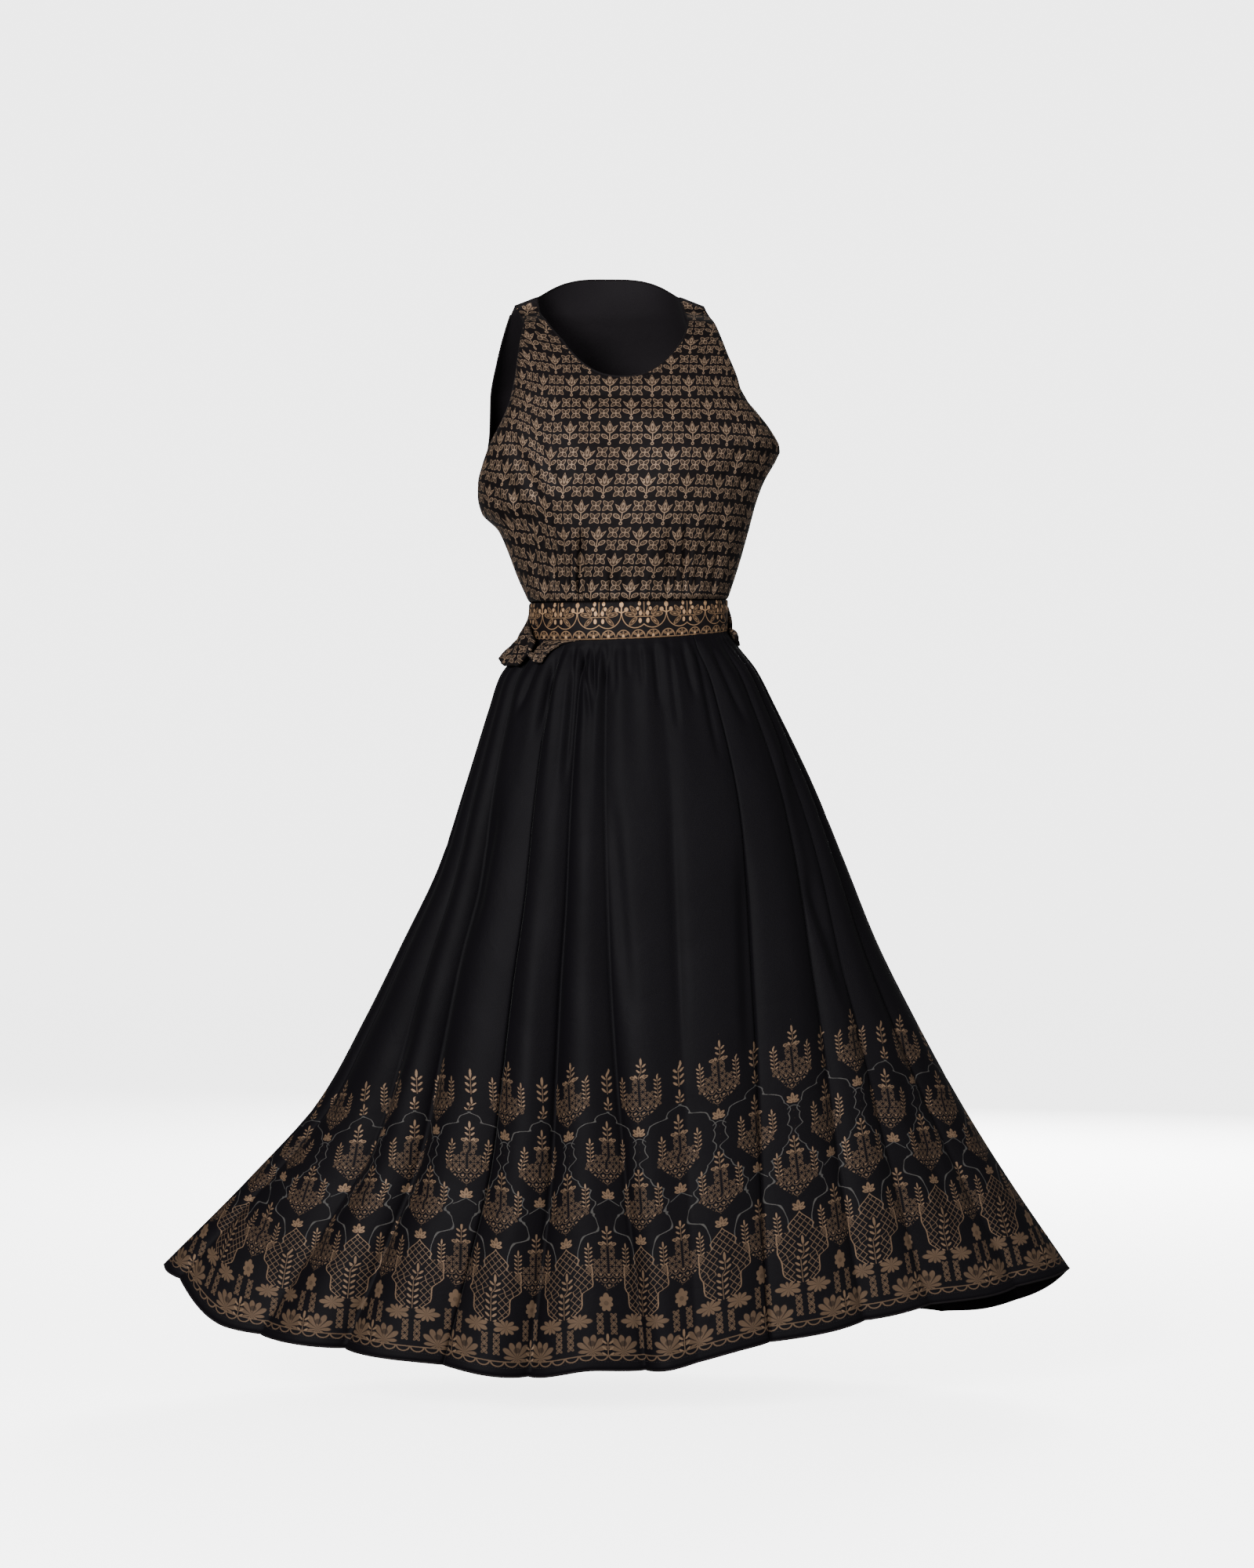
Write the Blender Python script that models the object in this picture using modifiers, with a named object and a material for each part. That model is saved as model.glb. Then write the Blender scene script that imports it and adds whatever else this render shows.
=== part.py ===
"""A sleeveless fit-and-flare dress, worn: gathered bodice, printed waistband, side ties and a wide gored skirt.

Metres, +Z up, front to -Y. The origin lies between the shoulder straps. Each cut piece is one cloth wall.
Places round the dress are turns in degrees: 0 at the left side seam as seen, 90 front, 180 right, 270 back.
"""
from collections import namedtuple

import bmesh
import bpy
import numpy as np

# Driving sizes
MM = 0.001
CLOTH = 1.5 * MM
BAND_CLOTH = 2.0 * MM
SEAM_GAP = 0.3 * MM

# Waistband: an oval tube that tilts up to the right and droops in front
WAIST_LEFT = 0.115
WAIST_RIGHT = 0.113
WAIST_FRONT = 0.100
WAIST_BACK = 0.088
BAND_TOP = -0.340
BAND_TOP_TILT = 0.002
BAND_TOP_DROOP = 0.004
BAND_BOTTOM = -0.378
BAND_BOTTOM_TILT = 0.0045
BAND_BOTTOM_DROOP = 0.009
BAND_COLUMNS = 26
BAND_ROWS = 3

# Shoulders and neck
SHOULDER_SEAM_Y = 0.008
STRAP_FOOT_AT = 4.0
NECK_SHARE_LEFT = -0.58
NECK_SHARE_RIGHT = 0.57
NECK_SCOOP = 0.046
NECK_ROUNDNESS = 2.4
BACK_NECK_RISE = 0.028
BACK_NECK_DEPTH = 0.058
BACK_NECK_OFFSET = 0.01
BACK_NECK_HALF_SHARE = 0.75
BACK_NECK_ROUNDNESS = 3.0
BACK_STRAP_RISE = 0.011
BACK_STRAP_SHARE = 0.25
SCOOP_FADES_AT = 10.0
FRONT_SHOULDER_ROWS = 2.0
BACK_SHOULDER_ROWS = 3.0
OVAL = 2.5

# Bodice folds
BUST_PLACE = 0.068
BUST_HEIGHT = -0.190
BUST_FULLNESS = 0.009
BUST_WIDTH = 0.045
BUST_LENGTH = 0.055
BODICE_GATHERS = 13
GATHER_DEPTH = 0.0035
GATHER_REACH = 0.075
GATHER_UNEVEN = 0.035
GATHER_UNEVEN_WAVES = 7.0
BAND_GRIP = 0.012

# Panel meshes: columns in the left strap, the middle and the right strap, then rows
FRONT_BLOCKS = (8, 28, 8)
BACK_COLUMNS = 40

# Skirt
SKIRT_ROWS = 12
SKIRT_ROW_SPREAD = 1.35
FLUTE_COLUMNS = 6
FLUTE_ROUNDNESS = 0.75
SKIRT_GATHER_DEPTH = 0.003
SKIRT_GATHER_FROM = 0.05
SKIRT_GATHER_TO = 0.28
FLUTE_START = 0.30
FLUTE_START_AT = 0.06
FLUTE_FULL_AT = 0.75
HEM_FULLNESS = 0.72

FRONT_CLOTH_COLOUR = (0.060, 0.045, 0.030, 1.0)
SKIRT_COLOUR = (0.011, 0.010, 0.011, 1.0)
BAND_COLOUR = (0.130, 0.090, 0.050, 1.0)

# Edges of the front and back from the shoulder seam to the armhole's foot, in millimetres
EdgeRow = namedtuple("EdgeRow", "at left_x left_y left_z right_x right_y right_z rise")
FRONT_ARMHOLES = [
    EdgeRow(0, -132, 8, 1, 86, 8, 0, 0),
    EdgeRow(1, -125, -11, -13, 92, -8, -13, 0),
    EdgeRow(2, -121, -25, -24, 98, -20, -24, 0),
    EdgeRow(3, -123, -40, -39, 105, -36, -43, 0),
    EdgeRow(4, -126, -52, -60, 111, -50, -61, 0),
    EdgeRow(5, -129, -60, -86, 121, -57, -86, 0),
    EdgeRow(6, -134, -64, -112, 128, -60, -109, 0),
    EdgeRow(7, -144, -62, -138, 144, -54, -128, 0),
    EdgeRow(8, -157, -53, -162, 160, -42, -147, 0),
    EdgeRow(9, -167, -37, -186, 171, -21, -164, 0),
    EdgeRow(10, -173, -16, -206, 172, -8, -170, 0),
]
BACK_ARMHOLES = [
    EdgeRow(0, -132, 8, 1, 86, 8, 0, 1.0),
    EdgeRow(1, -143, 30, -25, 97, 30, -24, 0.93),
    EdgeRow(2, -154, 44, -60, 113, 44, -56, 0.78),
    EdgeRow(3, -162, 48, -100, 130, 47, -90, 0.60),
    EdgeRow(4, -163, 45, -140, 147, 41, -120, 0.42),
    EdgeRow(5, -168, 33, -180, 163, 30, -148, 0.26),
    EdgeRow(6, -173, 15, -206, 172, 12, -168, 0.14),
]

# Side seams from the armhole's foot to the waistband, shared by front and back, in millimetres
SideRow = namedtuple("SideRow", "left_x left_z right_x right_z")
SIDE_SEAMS = [
    SideRow(-174, -220, 169, -177),
    SideRow(-170, -238, 155, -202),
    SideRow(-151, -258, 145, -229),
    SideRow(-140, -282, 137, -259),
    SideRow(-129, -311, 126, -298),
    SideRow(-115, -342, 113, -338),
]
FRONT_LAST = 16
BACK_LAST = 12
FRONT_WAIST_ROW = 12.0
BACK_WAIST_ROW = 8.0

# Inner edges of the two straps, over the same first rows
StrapRow = namedtuple("StrapRow", "at left_x left_z right_x right_z")
STRAP_EDGES = [
    StrapRow(0, -106, 11, 58, 11),
    StrapRow(1, -102, -9, 63, -9),
    StrapRow(2, -94, -22, 66, -22),
    StrapRow(3, -85, -35, 64, -34),
    StrapRow(4, -77, -45, 60, -45),
]

# Depth of the loose front and back at each height, in millimetres
DepthRow = namedtuple("DepthRow", "at front back")
DEPTHS = [
    DepthRow(-345, -101, 89),
    DepthRow(-300, -112, 98),
    DepthRow(-250, -121, 103),
    DepthRow(-200, -124, 106),
    DepthRow(-160, -119, 107),
    DepthRow(-120, -107, 104),
    DepthRow(-90, -92, 99),
    DepthRow(-45, -60, 90),
    DepthRow(-15, -28, 80),
    DepthRow(0, -5, 72),
    DepthRow(40, 8, 66),
]

# Bodice folds that stand above the waistband: place across, top, depth and width in millimetres
Fold = namedtuple("Fold", "x top depth width")
FRONT_FOLDS = [
    Fold(-96, -245, 5, 8),
    Fold(-55, -262, 7, 7),
    Fold(-20, -300, 3, 6),
    Fold(42, -275, 6, 8),
    Fold(62, -262, 5, 7),
    Fold(96, -250, 5, 8),
]
BACK_FOLDS = [
    Fold(-90, -250, 5, 8),
    Fold(-45, -270, 6, 8),
    Fold(5, -290, 4, 7),
    Fold(50, -265, 6, 8),
    Fold(92, -255, 5, 8),
]

# Skirt sections from the waist seam (0) to the hem (1), in millimetres
SkirtRow = namedtuple("SkirtRow", "at left right front back")
SKIRT_SECTIONS = [
    SkirtRow(0.000, 115, 113, 100, 88),
    SkirtRow(0.025, 130, 126, 108, 97),
    SkirtRow(0.060, 149, 146, 114, 105),
    SkirtRow(0.110, 161, 165, 121, 114),
    SkirtRow(0.240, 190, 211, 139, 132),
    SkirtRow(0.360, 218, 247, 153, 147),
    SkirtRow(0.486, 261, 284, 167, 162),
    SkirtRow(0.610, 305, 329, 180, 176),
    SkirtRow(0.735, 355, 379, 192, 188),
    SkirtRow(0.860, 435, 436, 203, 200),
    SkirtRow(1.000, 535, 506, 214, 210),
]

# Height of the hem round the skirt, in millimetres
HemRow = namedtuple("HemRow", "at height")
HEM = [
    HemRow(0, -1100),
    HemRow(14, -1113),
    HemRow(32, -1160),
    HemRow(48, -1172),
    HemRow(65, -1184),
    HemRow(78, -1198),
    HemRow(86, -1187),
    HemRow(92, -1189),
    HemRow(105, -1164),
    HemRow(116, -1149),
    HemRow(132, -1127),
    HemRow(143, -1122),
    HemRow(157, -1112),
    HemRow(180, -1105),
    HemRow(205, -1148),
    HemRow(218, -1168),
    HemRow(235, -1172),
    HemRow(270, -1178),
    HemRow(315, -1150),
    HemRow(360, -1100),
]

# Valleys between the skirt's flutes: turn at the waist and at the hem, depth at the hem in millimetres
Valley = namedtuple("Valley", "waist hem depth")
VALLEYS = [
    Valley(0, 0, 0),
    Valley(4, 14, 7),
    Valley(13, 38, 15),
    Valley(26, 52.6, 24),
    Valley(52, 67.1, 14),
    Valley(67, 77.7, 24),
    Valley(79, 92, 20),
    Valley(104, 98.5, 6),
    Valley(130, 108, 13),
    Valley(152, 121.6, 15),
    Valley(163, 132, 10),
    Valley(172, 151, 9),
    Valley(180, 180, 0),
    Valley(192, 205, 12),
    Valley(210, 222, 18),
    Valley(228, 239, 14),
    Valley(246, 255, 20),
    Valley(264, 270, 14),
    Valley(283, 286, 20),
    Valley(303, 303, 15),
    Valley(324, 322, 20),
    Valley(344, 340, 12),
    Valley(360, 360, 0),
]

# Gores, each from one valley to another by its number in the table above
Gore = namedtuple("Gore", "name first last")
GORES = [
    Gore("skirt_front_left", 0, 4),
    Gore("skirt_front_centre", 4, 8),
    Gore("skirt_front_right", 8, 12),
    Gore("skirt_back_right", 12, 16),
    Gore("skirt_back_centre", 16, 19),
    Gore("skirt_back_left", 19, 22),
]
SIDE_VALLEY = 12

# Side ties over the band and skirt: height in millimetres, turns of both edges, stand-off in millimetres
TieRow = namedtuple("TieRow", "at start end off")
TIES = {
    "tie_left_outer": [
        TieRow(-356, -3, 7, 0.6),
        TieRow(-372, -6, 15, 3.0),
        TieRow(-388, -7, 24, 7.0),
        TieRow(-403, -5, 29, 8.5),
        TieRow(-414, -1, 27, 7.5),
    ],
    "tie_left_inner": [
        TieRow(-387, 34, 62, 0.3),
        TieRow(-392, 33, 50, 1.2),
        TieRow(-403, 34, 45, 3.5),
        TieRow(-413, 34, 44, 4.0),
    ],
    "tie_right": [
        TieRow(-346, 176, 187, 0.4),
        TieRow(-366, 175, 185, 4.5),
        TieRow(-382, 171, 182, 4.0),
        TieRow(-390, 170, 183, 2.0),
    ],
}
TIE_COLUMNS = 10
TIE_ROWS = 8
TIE_FOLD = 0.0012
TIE_FOLDS = 2.5


def read(table, column, at):
    """A table's column at places between its rows, on a smooth curve that never overshoots."""
    places = np.array([row.at for row in table], float)
    values = np.array([getattr(row, column) for row in table], float)
    steps = np.diff(places)
    rates = np.diff(values) / steps
    same_way = rates[:-1] * rates[1:] > 0
    sums = np.where(same_way, rates[:-1] + rates[1:], 1.0)
    inner = np.where(same_way, 2.0 * rates[:-1] * rates[1:] / sums, 0.0)
    slopes = np.concatenate([rates[:1], inner, rates[-1:]])
    cell = np.clip(np.searchsorted(places, at, side="right") - 1, 0, len(steps) - 1)
    s = np.clip((at - places[cell]) / steps[cell], 0.0, 1.0)
    rise = values[cell + 1] - values[cell]
    bend = (slopes[cell] * (1 - s) - slopes[cell + 1] * s) * steps[cell] * s * (1 - s)
    return values[cell] + rise * s * s * (3 - 2 * s) + bend


def with_sides(armholes):
    """A panel's edge table: the armhole rows, then the side seam rows."""
    first = len(armholes)
    return armholes + [
        EdgeRow(first + i, row.left_x, 0, row.left_z, row.right_x, 0, row.right_z, 0)
        for i, row in enumerate(SIDE_SEAMS)
    ]


def ease(start, end, at):
    """0 before start and 1 past end, with a smooth rise between them."""
    s = np.clip((at - start) / (end - start), 0.0, 1.0)
    return s * s * (3 - 2 * s)


def material(name, colour, roughness):
    """A plain woven cloth finish."""
    made = bpy.data.materials.new(name)
    made.use_nodes = True
    shader = made.node_tree.nodes["Principled BSDF"]
    shader.inputs["Base Color"].default_value = colour
    shader.inputs["Roughness"].default_value = roughness
    shader.inputs["Metallic"].default_value = 0.0
    return made


def panel(name, columns, rows, place, cloth, thickness, without=None):
    """A cloth wall: a grid whose points the function place puts on the outer face, then Solidify inwards."""
    bm = bmesh.new()
    bmesh.ops.create_grid(bm, x_segments=columns, y_segments=rows, size=1.0)
    across = np.array([vert.co.x * 0.5 + 0.5 for vert in bm.verts])
    down = np.array([0.5 - vert.co.y * 0.5 for vert in bm.verts])
    if without:
        cut = [f for f in bm.faces if without(f.calc_center_median().x * 0.5 + 0.5,
                                              0.5 - f.calc_center_median().y * 0.5)]
    points = place(across, down)
    for vert, point in zip(bm.verts, points):
        vert.co = point
    if without:
        bmesh.ops.delete(bm, geom=cut, context="FACES")
    mesh = bpy.data.meshes.new(name)
    bm.to_mesh(mesh)
    bm.free()
    obj = bpy.data.objects.new(name, mesh)
    bpy.data.collections["Dress"].objects.link(obj)
    obj.data.materials.append(cloth)
    solidify = obj.modifiers.new("Wall", "SOLIDIFY")
    solidify.thickness = thickness
    solidify.offset = -1.0
    return obj


def trim(obj, keep):
    """Turn the wall into mesh points and pull those past a seam back to it."""
    solid = bpy.data.meshes.new_from_object(obj.evaluated_get(bpy.context.evaluated_depsgraph_get()))
    obj.modifiers.clear()
    obj.data = solid
    solid.name = obj.name
    for vert in solid.vertices:
        vert.co = keep(vert.co)
    solid.shade_smooth()
    solid.set_sharp_from_angle(angle=1.0)


def seam_y(z):
    """The plane where front meets back: over the shoulders it lies a little behind the side seams."""
    return SHOULDER_SEAM_Y if z > -0.05 else 0.0


def keep_front(co):
    """Stay in front of the seam plane."""
    co.y = min(co.y, seam_y(co.z) - SEAM_GAP / 2)
    return co


def keep_back(co):
    """Stay behind the seam plane."""
    co.y = max(co.y, seam_y(co.z) + SEAM_GAP / 2)
    return co


def oval(turn, left, right, front, back, fullness):
    """A point round a plan section: fullness 0.5 is an ellipse, and 1 a lens with pointed sides."""
    angle = np.radians(turn)
    x = -np.cos(angle) * np.where(np.cos(angle) > 0, left, right)
    depth = np.abs(np.sin(angle)) ** (2 * fullness)
    y = np.where(np.sin(angle) > 0, -depth * front, depth * back)
    return x, y


def band_top(turn):
    """Height of the seam between bodice and waistband."""
    angle = np.radians(turn)
    return BAND_TOP - BAND_TOP_TILT * np.cos(angle) - BAND_TOP_DROOP * np.sin(angle).clip(min=0)


def band_bottom(turn):
    """Height of the seam between waistband and skirt."""
    angle = np.radians(turn)
    return BAND_BOTTOM - BAND_BOTTOM_TILT * np.cos(angle) - BAND_BOTTOM_DROOP * np.sin(angle).clip(min=0)


def block_place(across, blocks):
    """Share of the way across a front panel whose strap columns are closer than its middle ones."""
    total = sum(blocks)
    edges = np.cumsum((0,) + blocks) / total
    shares = (-1.0, NECK_SHARE_LEFT, NECK_SHARE_RIGHT, 1.0)
    angles = -np.sign(shares) * np.abs(shares) ** (OVAL / 2)
    turns = np.degrees(np.arccos(angles))
    turn = np.interp(across, edges, turns)
    cosine = np.cos(np.radians(turn))
    share = -np.sign(cosine) * np.abs(cosine) ** (2 / OVAL)
    swell = np.sin(np.radians(turn)).clip(min=0) ** (2 / OVAL)
    return turn, share, swell


def folds(x, z, table, bottom):
    """How far the standing folds push the cloth in, fading towards their tops and the waistband."""
    push = np.zeros_like(x)
    for fold in table:
        top = fold.top * MM
        length = ease(top, (top + bottom) / 2, z) * (0.25 + 0.75 * ease(0.0, BAND_GRIP, z - bottom))
        push += fold.depth * MM * length * np.exp(-(((x - fold.x * MM) / (fold.width * MM)) ** 2))
    return push


def gathers(share, z, bottom, count):
    """Small waves that rise out of the waistband and die away above it."""
    height = z - bottom
    fade = (1 - ease(0.25 * GATHER_REACH, GATHER_REACH, height)) * (0.3 + 0.7 * ease(0.0, BAND_GRIP, height))
    beat = share + GATHER_UNEVEN * np.sin(GATHER_UNEVEN_WAVES * share)
    return GATHER_DEPTH * fade * (0.5 + 0.5 * np.cos(count * np.pi * beat))


def level_foot(turn):
    """Height of the front panel's last row before it follows the band: a level line between its corners."""
    left, right = SIDE_SEAMS[-1].left_z * MM, SIDE_SEAMS[-1].right_z * MM
    cosine = np.cos(np.radians(turn))
    share = -np.sign(cosine) * np.abs(cosine) ** (2 / OVAL)
    return left + (right - left) * (share + 1) / 2


def bodice_front_points(across, down):
    """Outer face of the front panel, from the shoulder seams to the waistband."""
    row = down * FRONT_LAST
    edges = with_sides(FRONT_ARMHOLES)
    turn, share, swell = block_place(across, FRONT_BLOCKS)
    left = [read(edges, name, row) * MM for name in ("left_x", "left_y", "left_z")]
    right = [read(edges, name, row) * MM for name in ("right_x", "right_y", "right_z")]
    blend = (share + 1) / 2
    x, edge_y, z = (a + (b - a) * blend for a, b in zip(left, right))

    strap = np.clip(row, 0, STRAP_FOOT_AT)
    on_left = (share + 1) / (NECK_SHARE_LEFT + 1)
    on_right = (1 - share) / (1 - NECK_SHARE_RIGHT)
    for inner, outer, way in (("left", left, on_left), ("right", right, on_right)):
        inside = (way <= 1.0001) & (row < STRAP_FOOT_AT + 0.0001)
        x = np.where(inside, outer[0] + (read(STRAP_EDGES, inner + "_x", strap) * MM - outer[0]) * way, x)
        z = np.where(inside, outer[2] + (read(STRAP_EDGES, inner + "_z", strap) * MM - outer[2]) * way, z)

    # Below the straps the rows sag in the middle to follow the scoop, and lie level lower down
    foot = np.full_like(row, STRAP_FOOT_AT)
    left_foot = read(edges, "left_z", foot) * MM
    right_foot = read(edges, "right_z", foot) * MM
    middle = (2 * share - NECK_SHARE_LEFT - NECK_SHARE_RIGHT) / (NECK_SHARE_RIGHT - NECK_SHARE_LEFT)
    inner = STRAP_EDGES[-1].left_z * MM
    along_left = left_foot + (inner - left_foot) * on_left
    along_right = right_foot + (inner - right_foot) * on_right
    along_scoop = inner - NECK_SCOOP * (1 - np.abs(middle).clip(0, 1) ** NECK_ROUNDNESS)
    foot_line = np.where(on_left < 1, along_left, np.where(on_right < 1, along_right, along_scoop))
    sag = foot_line - left_foot - (right_foot - left_foot) * blend
    level = left[2] + (right[2] - left[2]) * blend
    below = row > STRAP_FOOT_AT - 0.0001
    z = np.where(below, level + sag * (1 - ease(STRAP_FOOT_AT, SCOOP_FADES_AT, row)), z)

    # The foot of the panel follows the waistband's drooping top edge
    z = z + ease(FRONT_WAIST_ROW, FRONT_LAST, row) * (band_top(turn) + SEAM_GAP - level_foot(turn))

    depth = read(DEPTHS, "front", z / MM) * MM
    y = edge_y + (depth - edge_y) * swell
    offside = np.abs(x - (left[0] + right[0]) / 2)
    bust = np.exp(-(((offside - BUST_PLACE) / BUST_WIDTH) ** 2) - (((z - BUST_HEIGHT) / BUST_LENGTH) ** 2))
    y = y - BUST_FULLNESS * bust
    inward = folds(x, z, FRONT_FOLDS, BAND_TOP) + gathers(share, z, BAND_TOP, BODICE_GATHERS)
    y = y + inward * swell
    y = y + (SHOULDER_SEAM_Y - SEAM_GAP / 2 - y) * (1 - ease(0.0, FRONT_SHOULDER_ROWS, row))
    return np.column_stack([x, y, z])


def over_neck(across, down):
    """The open scoop between the straps."""
    first, last = np.cumsum(FRONT_BLOCKS)[:2] / sum(FRONT_BLOCKS)
    return down < STRAP_FOOT_AT / FRONT_LAST and first < across < last


def bodice_back_points(across, down):
    """Outer face of the back panel, running from the right side to the left one."""
    row = down * BACK_LAST
    edges = with_sides(BACK_ARMHOLES)
    turn = 180.0 + 180.0 * across
    cosine = np.cos(np.radians(turn))
    share = -np.sign(cosine) * np.abs(cosine) ** (2 / OVAL)
    swell = np.abs(np.sin(np.radians(turn))) ** (2 / OVAL)
    left = [read(edges, name, row) * MM for name in ("left_x", "left_y", "left_z")]
    right = [read(edges, name, row) * MM for name in ("right_x", "right_y", "right_z")]
    blend = (share + 1) / 2
    x, edge_y, z = (a + (b - a) * blend for a, b in zip(left, right))

    # The back neck climbs from the straps to the nape, and each lower row climbs less
    neck = ((share + BACK_NECK_OFFSET) / BACK_NECK_HALF_SHARE).clip(-1, 1)
    strap_way = ((1 - np.abs(share)) / BACK_STRAP_SHARE).clip(0, 1)
    rise = read(edges, "rise", row)
    z = z + rise * (BACK_STRAP_RISE * strap_way + BACK_NECK_RISE * (1 - np.abs(neck) ** BACK_NECK_ROUNDNESS))
    body_y = edge_y + (read(DEPTHS, "back", z / MM) * MM - edge_y) * swell
    neck_y = SHOULDER_SEAM_Y + SEAM_GAP / 2 + BACK_NECK_DEPTH * np.sqrt(1 - neck ** 2)
    y = neck_y + (body_y - neck_y) * ease(0.0, BACK_SHOULDER_ROWS, row)

    z = z + ease(BACK_WAIST_ROW, BACK_LAST, row) * (band_top(turn) + SEAM_GAP - level_foot(turn))
    inward = folds(x, z, BACK_FOLDS, BAND_TOP) + gathers(share, z, BAND_TOP, BODICE_GATHERS)
    y = y - inward * swell
    return np.column_stack([x, y, z])


def band_points(first):
    """Outer face of half the waistband, starting at a turn."""
    def place(across, down):
        turn = first + 180.0 * across
        x, y = oval(turn, WAIST_LEFT, WAIST_RIGHT, WAIST_FRONT, WAIST_BACK, 1 / OVAL)
        z = band_top(turn) + (band_bottom(turn) - band_top(turn)) * down
        return np.column_stack([x, y, z])
    return place


def skirt_base(turn, at):
    """The skirt's outer envelope, without flutes."""
    sides = [read(SKIRT_SECTIONS, name, at) * MM for name in ("left", "right", "front", "back")]
    fullness = 1 / OVAL + (HEM_FULLNESS - 1 / OVAL) * ease(0.0, 1.0, at)
    x, y = oval(turn, *sides, fullness)
    top = band_bottom(turn) - SEAM_GAP
    z = top + (read(HEM, "height", turn % 360.0) * MM - top) * at
    return np.column_stack([x, y, z])


def skirt_points(flute, at):
    """Outer face of the skirt: flute counts the valleys passed, at runs from the waist seam to the hem."""
    number = np.clip(np.floor(flute).astype(int), 0, len(VALLEYS) - 2)
    s = flute - number
    waist = np.array([valley.waist for valley in VALLEYS], float)
    hem = np.array([valley.hem for valley in VALLEYS], float)
    depth = np.array([valley.depth for valley in VALLEYS], float) * MM
    spread = ease(0.0, 1.0, at) * 0.5 + at * 0.5
    start = waist[number] + (hem[number] - waist[number]) * spread
    end = waist[number + 1] + (hem[number + 1] - waist[number + 1]) * spread
    turn = start + (end - start) * s
    valley = depth[number] + (depth[number + 1] - depth[number]) * s
    open_up = FLUTE_START * ease(0.0, FLUTE_START_AT, at) + (1 - FLUTE_START) * ease(0.05, FLUTE_FULL_AT, at)
    hollow = valley * open_up * (1 - np.sin(np.pi * s).clip(min=0) ** FLUTE_ROUNDNESS)
    gather = SKIRT_GATHER_DEPTH * ease(0.0, 0.02, at) * (1 - ease(SKIRT_GATHER_FROM, SKIRT_GATHER_TO, at))
    hollow = hollow + gather * (0.5 - 0.5 * np.cos(4 * np.pi * s + np.pi)) * np.sin(np.radians(turn)) ** 2
    points = skirt_base(turn, at)
    step = 0.5
    along = skirt_base(turn + step, at) - skirt_base(turn - step, at)
    length = np.hypot(along[:, 0], along[:, 1]).clip(min=1e-9)
    points[:, 0] -= along[:, 1] / length * hollow
    points[:, 1] += along[:, 0] / length * hollow
    return points


def gore_points(gore):
    """Outer face of one gore, held back from its seams by half the seam gap."""
    def place(across, down):
        count = gore.last - gore.first
        at = down ** SKIRT_ROW_SPREAD
        points = skirt_points(gore.first + count * across, at)
        way = 1.0 if gore.first < SIDE_VALLEY else -1.0
        points[:, 0] += np.where(across < 1e-6, way, np.where(across > 1 - 1e-6, -way, 0)) * SEAM_GAP / 2
        return points
    return place


def tie_points(name):
    """Outer face of a side tie: it lies on the band or skirt, moved out, with soft lengthwise folds."""
    table = TIES[name]

    def place(across, down):
        height = table[0].at + (table[-1].at - table[0].at) * down
        ordered = list(reversed(table))
        start = read(ordered, "start", height)
        end = read(ordered, "end", height)
        off = read(ordered, "off", height) * MM
        turn = start + (end - start) * across
        z = height * MM
        top = band_bottom(turn)
        hem = read(HEM, "height", turn % 360.0) * MM
        at = ((z - top) / (hem - top)).clip(min=0)
        points = skirt_base(turn, at)
        outward = skirt_base(turn + 0.5, at) - skirt_base(turn - 0.5, at)
        length = np.hypot(outward[:, 0], outward[:, 1])
        off = off + CLOTH + TIE_FOLD * (1 + np.sin(2 * np.pi * TIE_FOLDS * across))
        points[:, 0] += outward[:, 1] / length * off
        points[:, 1] -= outward[:, 0] / length * off
        points[:, 2] = z
        return points
    return place


for old in list(bpy.data.objects):
    bpy.data.objects.remove(old)
dress = bpy.data.collections.new("Dress")
bpy.context.scene.collection.children.link(dress)

printed_cotton = material("printed_bodice_cloth", FRONT_CLOTH_COLOUR, 0.75)
printed_band = material("printed_band_cloth", BAND_COLOUR, 0.70)
skirt_cotton = material("black_skirt_cloth", SKIRT_COLOUR, 0.65)

front = panel("bodice_front", sum(FRONT_BLOCKS), FRONT_LAST, bodice_front_points,
              printed_cotton, CLOTH, without=over_neck)
trim(front, keep_front)
back = panel("bodice_back", BACK_COLUMNS, BACK_LAST, bodice_back_points, printed_cotton, CLOTH)
trim(back, keep_back)

band_front = panel("waistband_front", BAND_COLUMNS, BAND_ROWS, band_points(0.0), printed_band, BAND_CLOTH)
trim(band_front, keep_front)
band_back = panel("waistband_back", BAND_COLUMNS, BAND_ROWS, band_points(180.0), printed_band, BAND_CLOTH)
trim(band_back, keep_back)

for gore in GORES:
    columns = FLUTE_COLUMNS * (gore.last - gore.first)
    made = panel(gore.name, columns, SKIRT_ROWS, gore_points(gore), skirt_cotton, CLOTH)
    trim(made, keep_front if gore.first < SIDE_VALLEY else keep_back)

for tie in TIES:
    made = panel(tie, TIE_COLUMNS, TIE_ROWS, tie_points(tie), printed_band, CLOTH)
    made.data.shade_smooth()
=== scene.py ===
"""A sleeveless fit-and-flare dress with a gold print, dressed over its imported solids.

Metres, +Z up, front to -Y. Turns round the dress are in degrees: 0 left side seam, 90 front, 180 right, 270 back.
"""
from collections import namedtuple

import bmesh
import bpy
import numpy as np
from mathutils import Matrix, Vector
from mathutils.bvhtree import BVHTree


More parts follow.
